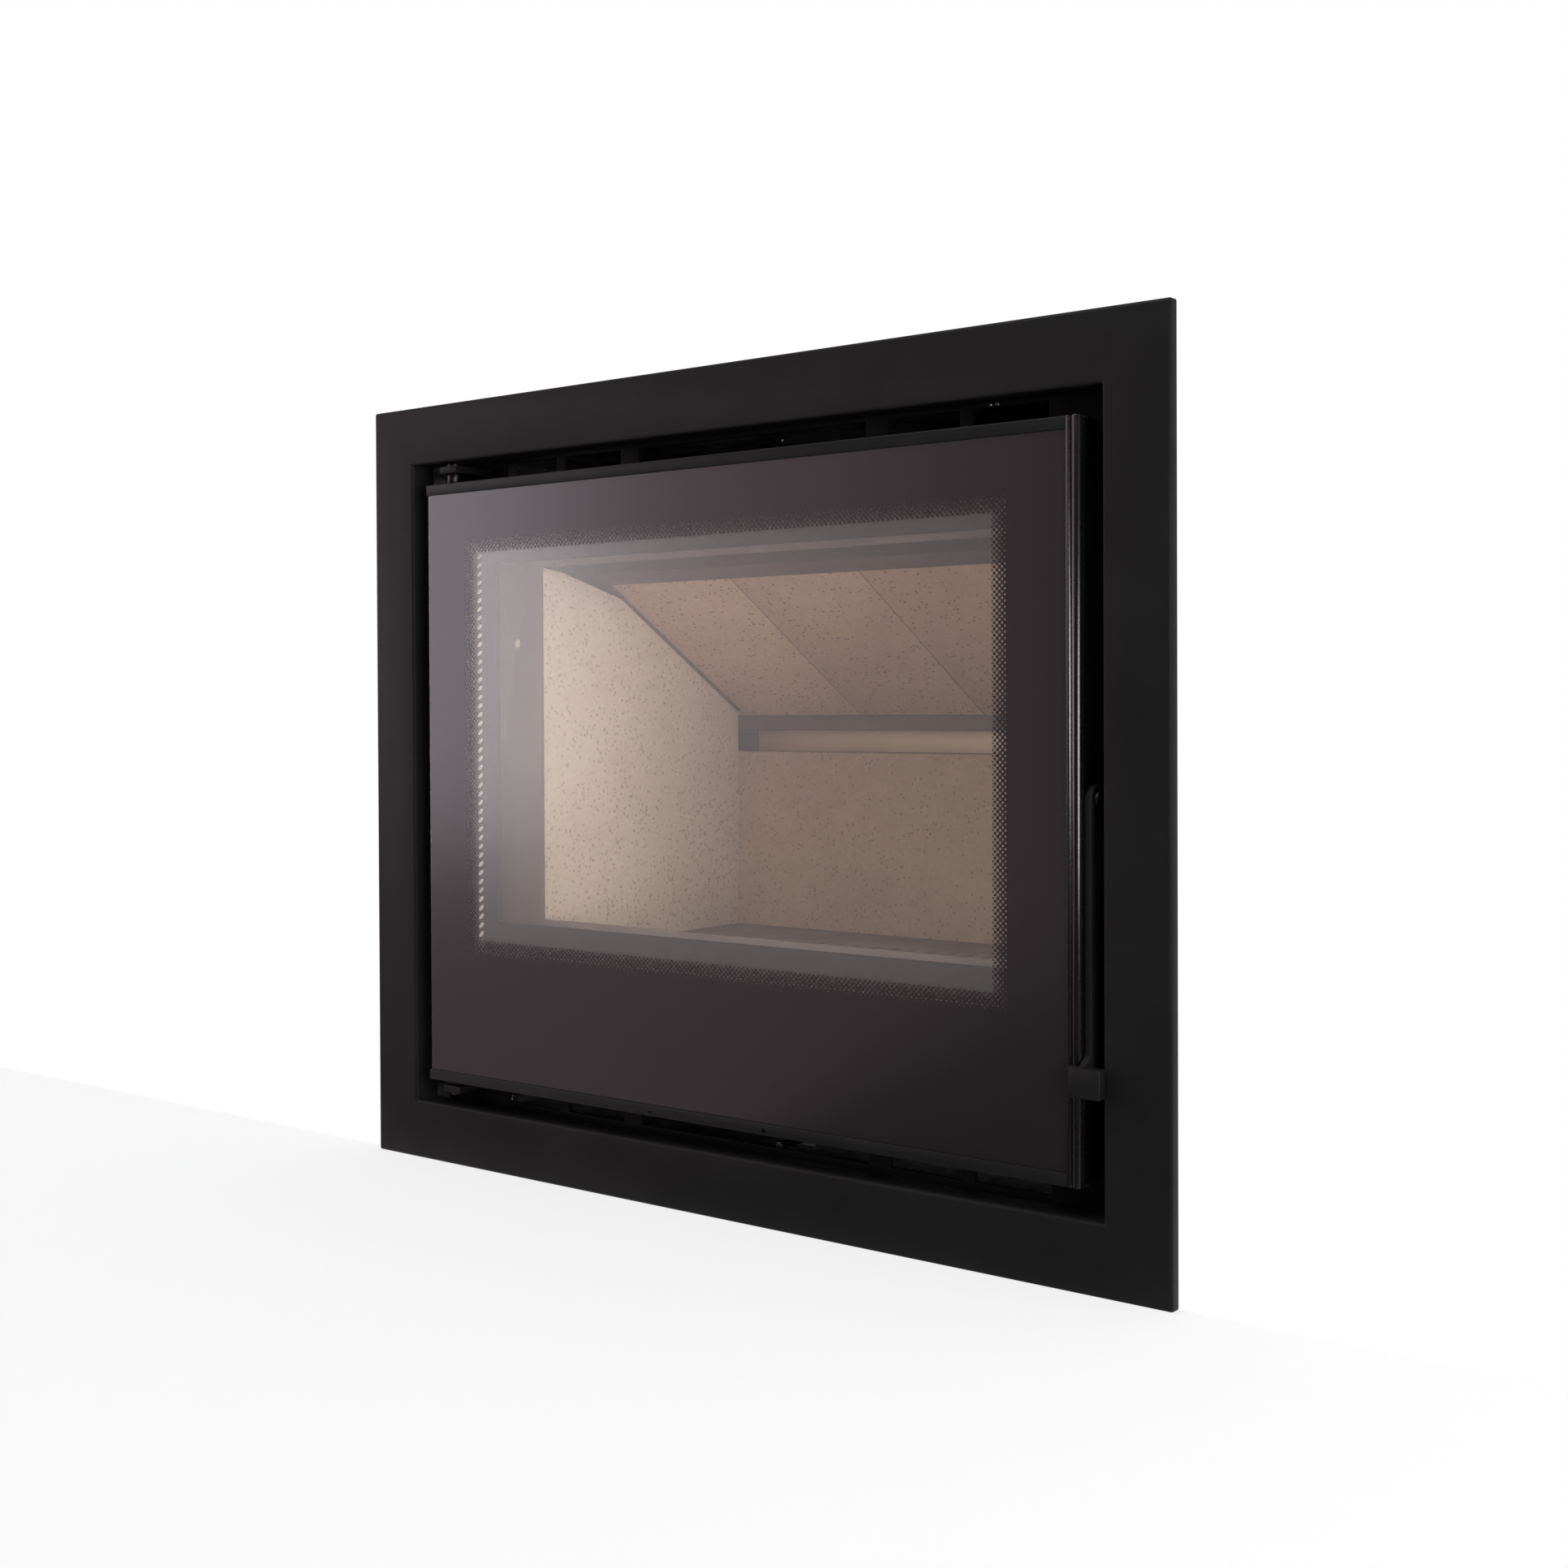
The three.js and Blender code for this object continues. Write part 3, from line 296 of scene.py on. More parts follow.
def printed_enamel(window):
    """Dark ceramic print fired on the glass, which fades out in dots towards the window."""
    material, tree, shader, place = start_finish("printed_enamel", {
        "Roughness": GLASS_BLUR, "IOR": GLASS_IOR,
    })
    x0, x1, z0, z1 = window
    axes = put(tree, "SeparateXYZ", {0: place}).outputs
    sides = []
    for axis, low, high in (("X", x0, x1), ("Z", z0, z1)):
        below = calculate(tree, "SUBTRACT", low, axes[axis])
        above = calculate(tree, "SUBTRACT", axes[axis], high)
        sides.append(calculate(tree, "MAXIMUM", below, above))
    outside = calculate(tree, "MAXIMUM", *sides)
    level = spread(tree, outside, PRINT_START, PRINT_END, 0.0, PRINT_BAND)
    waves = []
    for sign in ("ADD", "SUBTRACT"):
        slant = calculate(tree, sign, axes["X"], axes["Z"])
        turn = calculate(tree, "MULTIPLY", slant, math.tau / (DOT_PITCH * math.sqrt(2)))
        waves.append(calculate(tree, "COSINE", turn))
    lattice = calculate(tree, "MULTIPLY", calculate(tree, "ADD", *waves), 0.5)
    dotted = calculate(tree, "LESS_THAN", lattice, level)
    solid = calculate(tree, "GREATER_THAN", outside, PRINT_BAND)
    covered = calculate(tree, "MAXIMUM", dotted, solid)
    beyond = calculate(tree, "GREATER_THAN", outside, 0.0)
    feed(tree, shader, {
        "Base Color": ramp(tree, noise(tree, place, 120, 2), "#181718", "#1c1b1c"),
        "Alpha": calculate(tree, "MULTIPLY", covered, beyond),
    })
    return material


PAINT = sprayed_paint("stove_paint", "#151515", "#191919", 0.5, 0.1)
STRIP_PAINT = sprayed_paint("strip_paint", "#131414", "#171818", 0.5, 0.14)
# Darker than the stove paint: painted shade, for the shadow that the surround casts on the front plate in
# the gaps above and below the door.
SHADED_PLATE_PAINT = sprayed_paint("plate_paint", "#0e0e0f", "#121213", 0.6, 0.15)
PROFILE_ENAMEL = sprayed_paint("profile_enamel", "#0b0b0b", "#0f0f0f", 0.22, 0.7)
MARK_PAINT = sprayed_paint("mark_paint", "#020202", "#040404", 0.8, 0.01)
# The firebox's steel is drawn a light, warm brown-grey: its own dark paint with painted light, for the warm
# light that the lining boards bounce onto it.
WARM_LIT_FIREBOX_PAINT = sprayed_paint("firebox_paint", "#4e463f", "#5a5148", 0.6, 0.4, 1.6)
FINISHES = {
    "stove_paint": PAINT,
    "firebox_steel": WARM_LIT_FIREBOX_PAINT,
    "galvanised_steel": galvanised_sheet(),
    "cast_iron": sand_cast_iron("sand_cast_iron", "#222121", "#363433"),
    "vermiculite": vermiculite_board("vermiculite_board", "#c6baa5", "#bfb19a", 0.5),
    "stainless_steel": rolled_stainless("rolled_stainless", "#c8b298", "#d8c6ae", 0.6, 0.75),
    "bolt_steel": blackened_steel(),
    # The rope's yarn is drawn dark grey-brown: painted shade, for the shadow that the rope lies in behind
    # the door's print.
    "glass_fibre": glass_fibre_yarn("glass_fibre_yarn", "#2f2d28", "#49453d"),
    "ceramic_glass": ceramic_glass(),
}
ROPE_CORE_SHADED = glass_fibre_yarn("rope_core_yarn", "#25221d", "#38342d")  # darker than the braid: painted shade in the gaps between its strands
STITCH_YARN = glass_fibre_yarn("stitch_yarn", "#c4bdab", "#dcd5c5")
ZINC = zinc_plate()
# The baffle is the side boards' vermiculite drawn lighter and warmer: painted light on its downward face.
BAFFLE_BOARD = vermiculite_board("baffle_vermiculite", "#d8be9e", "#cfb495", 0.85)
# The rear board is the same vermiculite drawn darker and browner: painted shade on its face.
REAR_BOARD_SHADED = vermiculite_board("rear_vermiculite", "#b9a285", "#b0987c", 0.7)
JOINT_DARK = vermiculite_board("joint_soot", "#6a5440", "#5a4634", 0.5)
HEARTH_IRON = sand_cast_iron("hearth_iron", "#5b544e", "#746b63")


# ------------------------------------------------------------------ making and placing pieces

def keep(name, mesh, body, slot, material):
    """Links a finished mesh as a piece that moves with a body."""
    mesh.materials.clear()
    mesh.materials.append(material)
    piece = bpy.data.objects.new(name, mesh)
    bpy.context.scene.collection.objects.link(piece)
    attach(piece, body)
    return piece


def mesh_from(bm, name, sharp=None):
    """The mesh of a bmesh, smooth, with edges left sharp past an angle in degrees."""
    mesh = bpy.data.meshes.new(name)
    for face in bm.faces:
        face.smooth = True
    bm.to_mesh(mesh)
    bm.free()
    if sharp is not None:
        mesh.set_sharp_from_angle(angle=math.radians(sharp))
    return mesh


def ease_edges(piece, width, segments=2, angle=35):
    """Rounds a piece's sharp edges, as folded, cast or cut edges are."""
    bevel = piece.modifiers.new("eased_edges", "BEVEL")
    bevel.width = width
    bevel.segments = segments
    bevel.limit_method = "ANGLE"
    bevel.angle_limit = math.radians(angle)
    bevel.use_clamp_overlap = False
    bevel.harden_normals = True


SAME_SPOT = 1e-6
FLAT = math.radians(1)  # facets that turn by less are one flat face


def dress(node, edge, material=None, segments=2):
    """Stands in for a solid with the same form, its edges rounded and its finish on."""
    bm = bmesh.new()
    bm.from_mesh(NODES[node].data)
    bmesh.ops.remove_doubles(bm, verts=bm.verts, dist=SAME_SPOT)
    bmesh.ops.dissolve_limit(bm, angle_limit=FLAT, verts=bm.verts, edges=bm.edges)
    slot = SLOT_OF[node]
    piece = keep(f"{node}_formed", mesh_from(bm, node), BODY_OF[node], slot, material or FINISHES[slot])
    ease_edges(piece, edge, segments)
    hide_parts(node)
    return piece


EDGES = {
    "stove_paint": 0.4 * MM,
    "firebox_steel": 0.5 * MM,
    "galvanised_steel": 0.3 * MM,
    "cast_iron": 1.0 * MM,
    "vermiculite": 0.7 * MM,
    "stainless_steel": 0.3 * MM,
    "bolt_steel": 0.3 * MM,
    "glass_fibre": 0.5 * MM,
}
SIDES = ("left", "right")
BAFFLE_BOARDS = [f"baffle_board_{side}" for side in ("left", "middle", "right")]
FINE_EDGES = {board: 0.3 * MM for board in BAFFLE_BOARDS} | {"trim_frame": 1.2 * MM}
OWN_FINISH = {board: BAFFLE_BOARD for board in BAFFLE_BOARDS} | {
    "hearth_plate": HEARTH_IRON, "grate": HEARTH_IRON, "board_rear": REAR_BOARD_SHADED,
    "top_strip": STRIP_PAINT, "bottom_strip": STRIP_PAINT,
    "side_profile": PROFILE_ENAMEL, "front_plate": SHADED_PLATE_PAINT,
}


def dress_solids(skipped):
    for node in sorted(NODES):
        if node not in skipped:
            dress(node, FINE_EDGES.get(node, EDGES[SLOT_OF[node]]), OWN_FINISH.get(node))


def axis_place(origin, direction):
    """The matrix that stands a form's own Z axis on a point, along a direction."""
    return Matrix.Translation(origin) @ Vector(direction).to_track_quat("Z", "Y").to_matrix().to_4x4()


def skin(bm, rings):
    """Faces between each ring and the next, which all have as many points."""
    for below, above in zip(rings, rings[1:]):
        for i in range(len(below)):
            j = (i + 1) % len(below)
            bm.faces.new((below[i], below[j], above[j], above[i]))


def lathe(bm, place, rows, steps=48, closed=False):
    """Joins rings of (radius, height) in millimetres. A third entry makes a ring a hexagon,
    whose radius is half its width across flats."""
    rings = []
    for radius, height, *hexagon in rows:
        ring = []
        for i in range(steps):
            angle = math.tau * i / steps
            past_flat = (angle + math.pi / 6) % (math.pi / 3) - math.pi / 6
            reach = radius / math.cos(past_flat) if hexagon else radius
            point = Vector((reach * math.cos(angle), reach * math.sin(angle), height)) * MM
            ring.append(bm.verts.new(place @ point))
        rings.append(ring)
    skin(bm, rings + rings[:1] if closed else rings)
    if not closed:
        bm.faces.new(rings[0][::-1])
        bm.faces.new(rings[-1])


def hex_screw(bm, origin, direction, flats=7.0):
    """A sheet-metal screw's head: a pressed washer under a low hexagon."""
    half, washer = flats / 2, flats * 0.72
    rows = [
        (washer, 0), (washer, 0.5), (washer - 0.3, 0.8), (half * 1.18, 1.0),
        (half, 1.2, True), (half, 3.4, True), (half * 0.93, 3.9), (half * 0.6, 3.7), (half * 0.5, 3.3),
    ]
    lathe(bm, axis_place(origin, direction), rows, 24)


def tube(bm, points, across, up, steps):
    """A closed tube whose rings are ellipses given by two half-axis vectors at each point."""
    rings = []
    for point, a, b in zip(points, across, up):
        ring = []
        for i in range(steps):
            angle = math.tau * i / steps
            ring.append(bm.verts.new(point + a * math.cos(angle) + b * math.sin(angle)))
        rings.append(ring)
    skin(bm, rings + rings[:1])


# ------------------------------------------------------------------ door

BAND_OUTSIDE = {"left": 57.8 * MM, "right": 69.4 * MM, "bottom": 124.7 * MM, "top": 61.3 * MM}
PRINT_SHEET = 0.04 * MM
PRINT_STANDOFF = 0.02 * MM
PRINT_RIM = {"left": 1.1 * MM, "right": 0.3 * MM}  # glass left clear along its upright edges


def make_glass():
    pane = NODES["door_glass"]
    pane.material_slots[0].material = FINISHES["ceramic_glass"]
    pane.visible_shadow = False
    low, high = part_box("door_glass")
    door_low, door_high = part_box("bottom_strip")[0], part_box("top_strip")[1]
    window = (
        door_low.x + BAND_OUTSIDE["left"], door_high.x - BAND_OUTSIDE["right"],
        door_low.z + BAND_OUTSIDE["bottom"], door_high.z - BAND_OUTSIDE["top"],
    )
    bm = bmesh.new()
    corners = bmesh.ops.create_cube(bm, size=1)["verts"]
    x0, x1 = low.x + PRINT_RIM["left"], high.x - PRINT_RIM["right"]
    size = Vector((x1 - x0, PRINT_SHEET, high.z - low.z))
    middle = Vector(((x0 + x1) / 2, low.y - PRINT_STANDOFF - PRINT_SHEET / 2, (low.z + high.z) / 2))
    for corner in corners:
        corner.co = Vector(a * b for a, b in zip(corner.co, size)) + middle
    mesh = mesh_from(bm, "glass_print", 30)
    keep("glass_print", mesh, "door", "ceramic_glass", printed_enamel(window))


ROPE_INSET = 5 * MM  # the rope's middle from the edge of its box
ROPE_CORNER = 9 * MM  # radius of the rope's middle at the corners
STRANDS = 3  # in each direction
STRAND_SIDES = 6
STRAND_LAY = 23.1 * MM  # length of one turn of a strand
STRAND_STEP = 1.3 * MM
STRAND_RING = 3.4 * MM  # strand's middle from the rope's
STRAND_LIFT = 0.55 * MM
STRAND_HALF_WIDTH = 2.0 * MM
STRAND_HALF_DEPTH = 1.05 * MM
ROPE_SQUEEZE = 0.8  # width of the pressed rope against its depth
CORE_RADIUS = 2.9 * MM
CORE_STEPS = 240
CORE_SIDES = 12
STITCH_PITCH = 7.7 * MM
STITCH_OUT = 3.5 * MM  # from the rope's middle to its side
STITCH_SLANT = 0.9
UPRIGHT = 0.99  # least rise, per length, of a run that is stitched
STITCH_ROWS = [(0.4, -3.0), (1.2, -2.2), (1.5, 0), (1.2, 2.2), (0.4, 3.0)]


def rounded_route(x0, x1, z0, z1, radius, y):
    """Length of a rectangle with round corners, and a function from length to point and outward way."""
    legs = []
    corners = [(x1, z0, -90), (x1, z1, 0), (x0, z1, 90), (x0, z0, 180)]
    middles = [
        (x + radius * (1 if x == x0 else -1), z + radius * (1 if z == z0 else -1), start)
        for x, z, start in corners
    ]
    straights = [z1 - z0 - 2 * radius, x1 - x0 - 2 * radius] * 2
    for (mx, mz, start), straight in zip(middles, straights):
        legs.append(("bend", mx, mz, math.radians(start), radius * math.pi / 2))
        legs.append(("run", mx, mz, math.radians(start + 90), straight))
    total = sum(leg[-1] for leg in legs)

    def at(length):
        length %= total
        for kind, mx, mz, angle, span in legs:
            if length <= span:
                break
            length -= span
        turn = angle + (length / radius if kind == "bend" else 0)
        outward = Vector((math.cos(turn), 0, math.sin(turn)))
        ahead = Vector((-math.sin(turn), 0, math.cos(turn)))
        point = Vector((mx, y, mz)) + outward * radius
        return (point if kind == "bend" else point + ahead * length), outward, ahead

    return total, at


def make_rope():
    """The door's seal: a braid of glass-fibre strands round a core, laid round the window."""
    low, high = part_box("rope_gasket")
    half = (high.y - low.y) / 2
    total, at = rounded_route(
        low.x + ROPE_INSET, high.x - ROPE_INSET, low.z + ROPE_INSET, high.z - ROPE_INSET,
        ROPE_CORNER, (low.y + high.y) / 2,
    )
    flat = half / ROPE_INSET
    turns = round(total / STRAND_LAY)
    steps = round(total / STRAND_STEP)
    front = Vector((0, -flat, 0))
    bm = bmesh.new()
    for twist in (1, -1):
        for strand in range(STRANDS):
            points, across, up = [], [], []
            for i in range(steps):
                middle, outward, ahead = at(total * i / steps)
                wound = math.tau * turns * i / steps
                start = strand + (0 if twist > 0 else 0.5)
                angle = twist * wound + math.tau * start / STRANDS
                ring = STRAND_RING + twist * STRAND_LIFT * math.cos(STRANDS * wound)
                wide = outward * ROPE_SQUEEZE
                out = wide * math.cos(angle) + front * math.sin(angle)
                around = front * math.cos(angle) - wide * math.sin(angle)
                lean = twist * math.tau * STRAND_RING / STRAND_LAY
                points.append(middle + out * ring)
                across.append((around - ahead * lean).normalized() * STRAND_HALF_WIDTH)
                up.append(out * STRAND_HALF_DEPTH)
            tube(bm, points, across, up, STRAND_SIDES)
    bmesh.ops.recalc_face_normals(bm, faces=bm.faces)
    piece = keep("rope_braid", mesh_from(bm, "rope_braid"), "door", "glass_fibre", FINISHES["glass_fibre"])
    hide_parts("rope_gasket")

    # The core is drawn darker than the braid: painted shade in the gaps between the strands.
    core = [at(total * i / CORE_STEPS) for i in range(CORE_STEPS)]
    middles = [middle for middle, _, _ in core]
    across = [outward * CORE_RADIUS * ROPE_SQUEEZE for _, outward, _ in core]
    bm = bmesh.new()
    tube(bm, middles, across, [front * CORE_RADIUS] * CORE_STEPS, CORE_SIDES)
    bmesh.ops.recalc_face_normals(bm, faces=bm.faces)
    keep("rope_core", mesh_from(bm, "rope_core"), "door", "glass_fibre", ROPE_CORE_SHADED)

    # Slanting stitches of pale yarn hold the rope where it runs upright.
    bm = bmesh.new()
    count = round(total / STITCH_PITCH)
    for i in range(count):
        middle, outward, ahead = at(total * i / count)
        if abs(ahead.z) > UPRIGHT:
            spot = middle - outward * STITCH_OUT
            lathe(bm, axis_place(spot, front + ahead * STITCH_SLANT), STITCH_ROWS, 10)
    keep("rope_stitching", mesh_from(bm, "rope_stitching"), "door", "glass_fibre", STITCH_YARN)


MARK_SIZE = 4.4 * MM
MARK_STROKE = 1.15 * MM
MARK_PROUD = 0.05 * MM
MARK_RISE = 3.6 * MM  # above the strip's lower edge


def slab(bm, low, high):
    corners = bmesh.ops.create_cube(bm, size=1)["verts"]
    for corner in corners:
        share = corner.co + Vector((0.5, 0.5, 0.5))
        corner.co = Vector(a + (b - a) * t for a, b, t in zip(low, high, share))


def make_marks(rod_travel):
    """A minus and a plus printed on the lower strip, over the ends of the air rod's travel."""
    strip_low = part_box("bottom_strip")[0]
    rod_low, rod_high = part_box("air_rod")
    plus_x = (rod_low.x + rod_high.x) / 2
    z = strip_low.z + MARK_RISE
    half, stroke = MARK_SIZE / 2, MARK_STROKE / 2
    y0, y1 = strip_low.y - MARK_PROUD, strip_low.y
    bm = bmesh.new()
    for x in (plus_x, plus_x - rod_travel):
        slab(bm, (x - half, y0, z - stroke), (x + half, y1, z + stroke))
    for z0, z1 in ((z - half, z - stroke), (z + stroke, z + half)):
        slab(bm, (plus_x - stroke, y0, z0), (plus_x + stroke, y1, z1))
    keep("air_marks", mesh_from(bm, "air_marks", 30), "door", "stove_paint", MARK_PAINT)


BOLT_HEAD = 2.8  # millimetres


def make_pivot_bolt():
    """A button-head bolt with a hexagon socket."""
    low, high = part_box("pivot_bolt")
    end = (high.x - low.x) / MM
    head = end - BOLT_HEAD
    rows = [
        (3.4, 0), (4, 0.6), (4, head), (7.2, head), (7.5, head + 0.3), (7.3, head + 1.1),
        (6.4, head + 2.1), (5, end), (3, end), (2.5, end - 0.3, True), (2.5, end - 2.2, True),
        (1, end - 2.4),
    ]
    origin = Vector((low.x, (low.y + high.y) / 2, (low.z + high.z) / 2))
    bm = bmesh.new()
    lathe(bm, axis_place(origin, (1, 0, 0)), rows)
    mesh = mesh_from(bm, "pivot_bolt", 35)
    piece = keep("pivot_bolt_turned", mesh, "door", "bolt_steel", FINISHES["bolt_steel"])
    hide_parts("pivot_bolt")


JOINT_WIDTH = 0.9 * MM
JOINT_PROUD = 0.06 * MM
JOINT_DEPTH = 0.3 * MM


def make_baffle_joints():
    """Dark brown lines along the joints between the baffle's boards, seen on their sloping underside."""
    bm = bmesh.new()
    for left, right in (("left", "middle"), ("middle", "right")):
        x = (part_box(f"baffle_board_{left}")[1].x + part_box(f"baffle_board_{right}")[0].x) / 2
        mesh = NODES[f"baffle_board_{right}"].data
        under = [face for face in mesh.polygons if face.normal.z < -0.3 and face.normal.y < -0.1]
        normal = max(under, key=lambda face: face.area).normal
        slope = [face for face in under if face.normal.dot(normal) > 0.99]
        spots = [mesh.vertices[i].co for face in slope for i in face.vertices]
        ends = [min(spots, key=lambda spot: spot.y), max(spots, key=lambda spot: spot.y)]
        corners = []
        for lift in (-JOINT_DEPTH, JOINT_PROUD):
            for spot, way in ((ends[0], -1), (ends[0], 1), (ends[1], 1), (ends[1], -1)):
                edge = Vector((x + way * JOINT_WIDTH / 2, spot.y, spot.z))
                corners.append(bm.verts.new(edge + normal * lift))
        bm.faces.new(corners[:4])
        bm.faces.new(corners[4:])
        for i in range(4):
            j = (i + 1) % 4
            bm.faces.new((corners[i], corners[j], corners[4 + j], corners[4 + i]))
    bmesh.ops.recalc_face_normals(bm, faces=bm.faces)
    keep("baffle_joints", mesh_from(bm, "baffle_joints", 30), "stove_body", "vermiculite", JOINT_DARK)


# ------------------------------------------------------------------ casing, outlets and feet

RING_CLEARANCE = 0.1  # millimetres


def make_flue_collar():
    low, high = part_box("flue_collar")
    foot, top = low.z / MM, high.z / MM
    middle = Vector(((low.x + high.x) / 2, (low.y + high.y) / 2, 0))
    rows = [
        (84, foot), (114, foot), (115, foot + 1), (115, foot + 5), (114, foot + 6), (96, foot + 6),
        (92.5, foot + 7), (90, foot + 9.5), (89, foot + 14), (89, top - 15), (89.4, top - 13.6),
        (90, top - 13), (90, top - 2), (89, top - 0.6), (87.6, top), (86, top), (84.6, top - 0.6),
        (84, top - 2),
    ]
    bm = bmesh.new()
    lathe(bm, Matrix.Translation(middle), rows, 96, closed=True)
    mesh = mesh_from(bm, "flue_collar", 40)
    piece = keep("flue_collar_cast", mesh, "stove_body", "cast_iron", FINISHES["cast_iron"])
    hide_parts("flue_collar")

    # A pressed ring closes the running gap between the collar and the casing's top.
    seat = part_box("casing_back")[1].z / MM + RING_CLEARANCE
    ring = [
        (90.5, seat + 4), (91.2, seat + 4.2), (92, seat + 3), (94, seat + 1.5), (111, seat + 1.2),
        (112, seat + 0.8), (112, seat), (93, seat), (91, seat + 1.6),
    ]
    bm = bmesh.new()
    lathe(bm, Matrix.Translation(middle), ring, 96, closed=True)
    mesh = mesh_from(bm, "flue_ring", 40)
    keep("flue_ring", mesh, "stove_body", "galvanised_steel", FINISHES["galvanised_steel"])


SPIGOT_SCREWS = 4
SPIGOT_SCREW_CIRCLE = 69  # millimetres, radius
SPIGOT_SCREW_FLATS = 5.5
FLANGE_THICKNESS = 2


def make_spigots():
    screws = bmesh.new()
    for side in SIDES:
        node = f"hot_air_spigot_{side}"
        low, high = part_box(node)
        foot, top = low.z / MM, high.z / MM
        rows = [
            (60, foot), (74.6, foot), (75, foot + 0.4), (75, foot + 1.6), (74.6, foot + 2), (64, foot + 2),
            (62.4, foot + 2.8), (61.7, foot + 4.6), (61.7, top - 17), (62.2, top - 16.2), (62.5, top - 14.5),
            (62.2, top - 12.8), (61.7, top - 12), (61.7, top - 0.6), (61.2, top), (60.5, top),
            (60, top - 0.6),
        ]
        middle = Vector(((low.x + high.x) / 2, (low.y + high.y) / 2, 0))
        bm = bmesh.new()
        lathe(bm, Matrix.Translation(middle), rows, 72, closed=True)
        mesh = mesh_from(bm, node, 40)
        piece = keep(f"{node}_rolled", mesh, "stove_body", "galvanised_steel", FINISHES["galvanised_steel"])
        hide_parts(node)
        for i in range(SPIGOT_SCREWS):
            angle = math.tau * (i + 0.5) / SPIGOT_SCREWS
            spot = Vector((
                SPIGOT_SCREW_CIRCLE * math.cos(angle), SPIGOT_SCREW_CIRCLE * math.sin(angle),
                foot + FLANGE_THICKNESS,
            )) * MM
            hex_screw(screws, middle + spot, (0, 0, 1), SPIGOT_SCREW_FLATS)
    mesh = mesh_from(screws, "spigot_screws", 35)
    keep("spigot_screws", mesh, "stove_body", "galvanised_steel", ZINC)


DAMPER_RISE = 24.0  # millimetres over the spigot's foot


def make_spigot_dampers():
    """A round flap, shut, on a spindle across each spigot, with a small lever outside."""
    for side in SIDES:
        low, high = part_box(f"hot_air_spigot_{side}")
        rise = low.z / MM + DAMPER_RISE
        middle = Vector(((low.x + high.x) / 2, (low.y + high.y) / 2, 0))
        bm = bmesh.new()
        flap = [
            (2, rise - 0.5), (57, rise - 0.5), (58, rise - 1.2), (59.4, rise - 1.2),
            (59.4, rise + 1.2), (58, rise + 1.2), (57, rise + 0.5), (2, rise + 0.5),
        ]
        lathe(bm, Matrix.Translation(middle), flap, 64)
        spindle = [(3.2, -67), (3.6, -66.6), (3.6, 66.6), (3.2, 67)]
        lathe(bm, axis_place(middle + Vector((0, 0, rise)) * MM, (0, 1, 0)), spindle, 20)
        lever = middle + Vector((0, -66.4, rise)) * MM
        slab(bm, lever + Vector((-4.5, -1.5, -6)) * MM, lever + Vector((4.5, 0, 21)) * MM)
        bmesh.ops.recalc_face_normals(bm, faces=bm.faces)
        mesh = mesh_from(bm, f"spigot_damper_{side}", 35)
        keep(f"spigot_damper_{side}", mesh, "stove_body", "galvanised_steel", FINISHES["galvanised_steel"])


FOOT_ENDS = ("front_left", "front_right", "back_left", "back_right")
BASE_FOLD = 22 * MM  # the casing's base is folded down by this at its rim
NUT_FLATS = 19  # millimetres, as are the five that follow
NUT_CLEARANCE = 0.3
STEM_RADIUS = 6
STEM_START = 8.0  # hidden in the pad
THREAD_PITCH = 1.75
THREAD_DEPTH = 0.9
THREAD_STEPS = 24  # round the stem
THREAD_LAYERS = 4  # in each turn of the thread
STEM_TIP = 0.85  # radius of the stem's flat end, as a share


def threaded_stem(bm, place, top):
    """A stem with a helical thread, from inside the pad to a height in millimetres."""
    rings = []
    rise = STEM_START
    while rise < top - 0.5:
        ring = []
        for i in range(THREAD_STEPS):
            phase = (rise / THREAD_PITCH - i / THREAD_STEPS) % 1
            radius = STEM_RADIUS - THREAD_DEPTH * abs(2 * phase - 1)
            angle = math.tau * i / THREAD_STEPS
            ring.append(bm.verts.new(place @ Vector((
                radius * math.cos(angle) * MM, radius * math.sin(angle) * MM, rise * MM,
            ))))
        rings.append(ring)
        rise += THREAD_PITCH / THREAD_LAYERS
    tip = place @ Vector((0, 0, top * MM))
    end = [bm.verts.new(tip + (vert.co - tip) * STEM_TIP) for vert in rings[-1]]
    for vert in end:
        vert.co.z = top * MM
    skin(bm, rings + [end])
    bm.faces.new(end)
    bm.faces.new(rings[0][::-1])


def make_feet():
    """Levelling feet: a pressed pad, a threaded stem and a lock nut under the casing."""
    nut_top = (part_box("casing_base")[0].z + BASE_FOLD) / MM - NUT_CLEARANCE
    pad = [
        (19.2, 0), (20, 0.8), (20, 4.6), (19.4, 5.6), (17.5, 6), (9.5, 6.4), (8, 7.2), (7.2, 9),
        (5.2, 9.4),
    ]
    nut = [
        (8.6, nut_top - 9), (9.4, nut_top - 8.6), (NUT_FLATS / 2, nut_top - 8.2, True),
        (NUT_FLATS / 2, nut_top - 0.8, True), (9.4, nut_top - 0.4), (8.6, nut_top),
    ]
    for end in FOOT_ENDS:
        node = f"foot_{end}"
        low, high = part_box(node)
        place = Matrix.Translation(((low.x + high.x) / 2, (low.y + high.y) / 2, 0))
        bm = bmesh.new()
        lathe(bm, place, pad)
        lathe(bm, place, nut)
        threaded_stem(bm, place, high.z / MM)
        piece = keep(f"{node}_turned", mesh_from(bm, node, 50), "stove_body", "bolt_steel", ZINC)
        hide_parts(node)


RIB_LENGTH = 380 * MM
RIB_HALF_WIDTH = 7 * MM
RIB_HEIGHT = 2.2 * MM
RIB_STEPS = 24
RIB_SECTION = ((0, 0), (0.12, 0.1), (0.3, 0.42), (0.55, 0.8), (0.8, 0.97), (0.95, 1))
RIB_PLACES = (0.3, 0.55, 0.8)  # shares of the side's depth


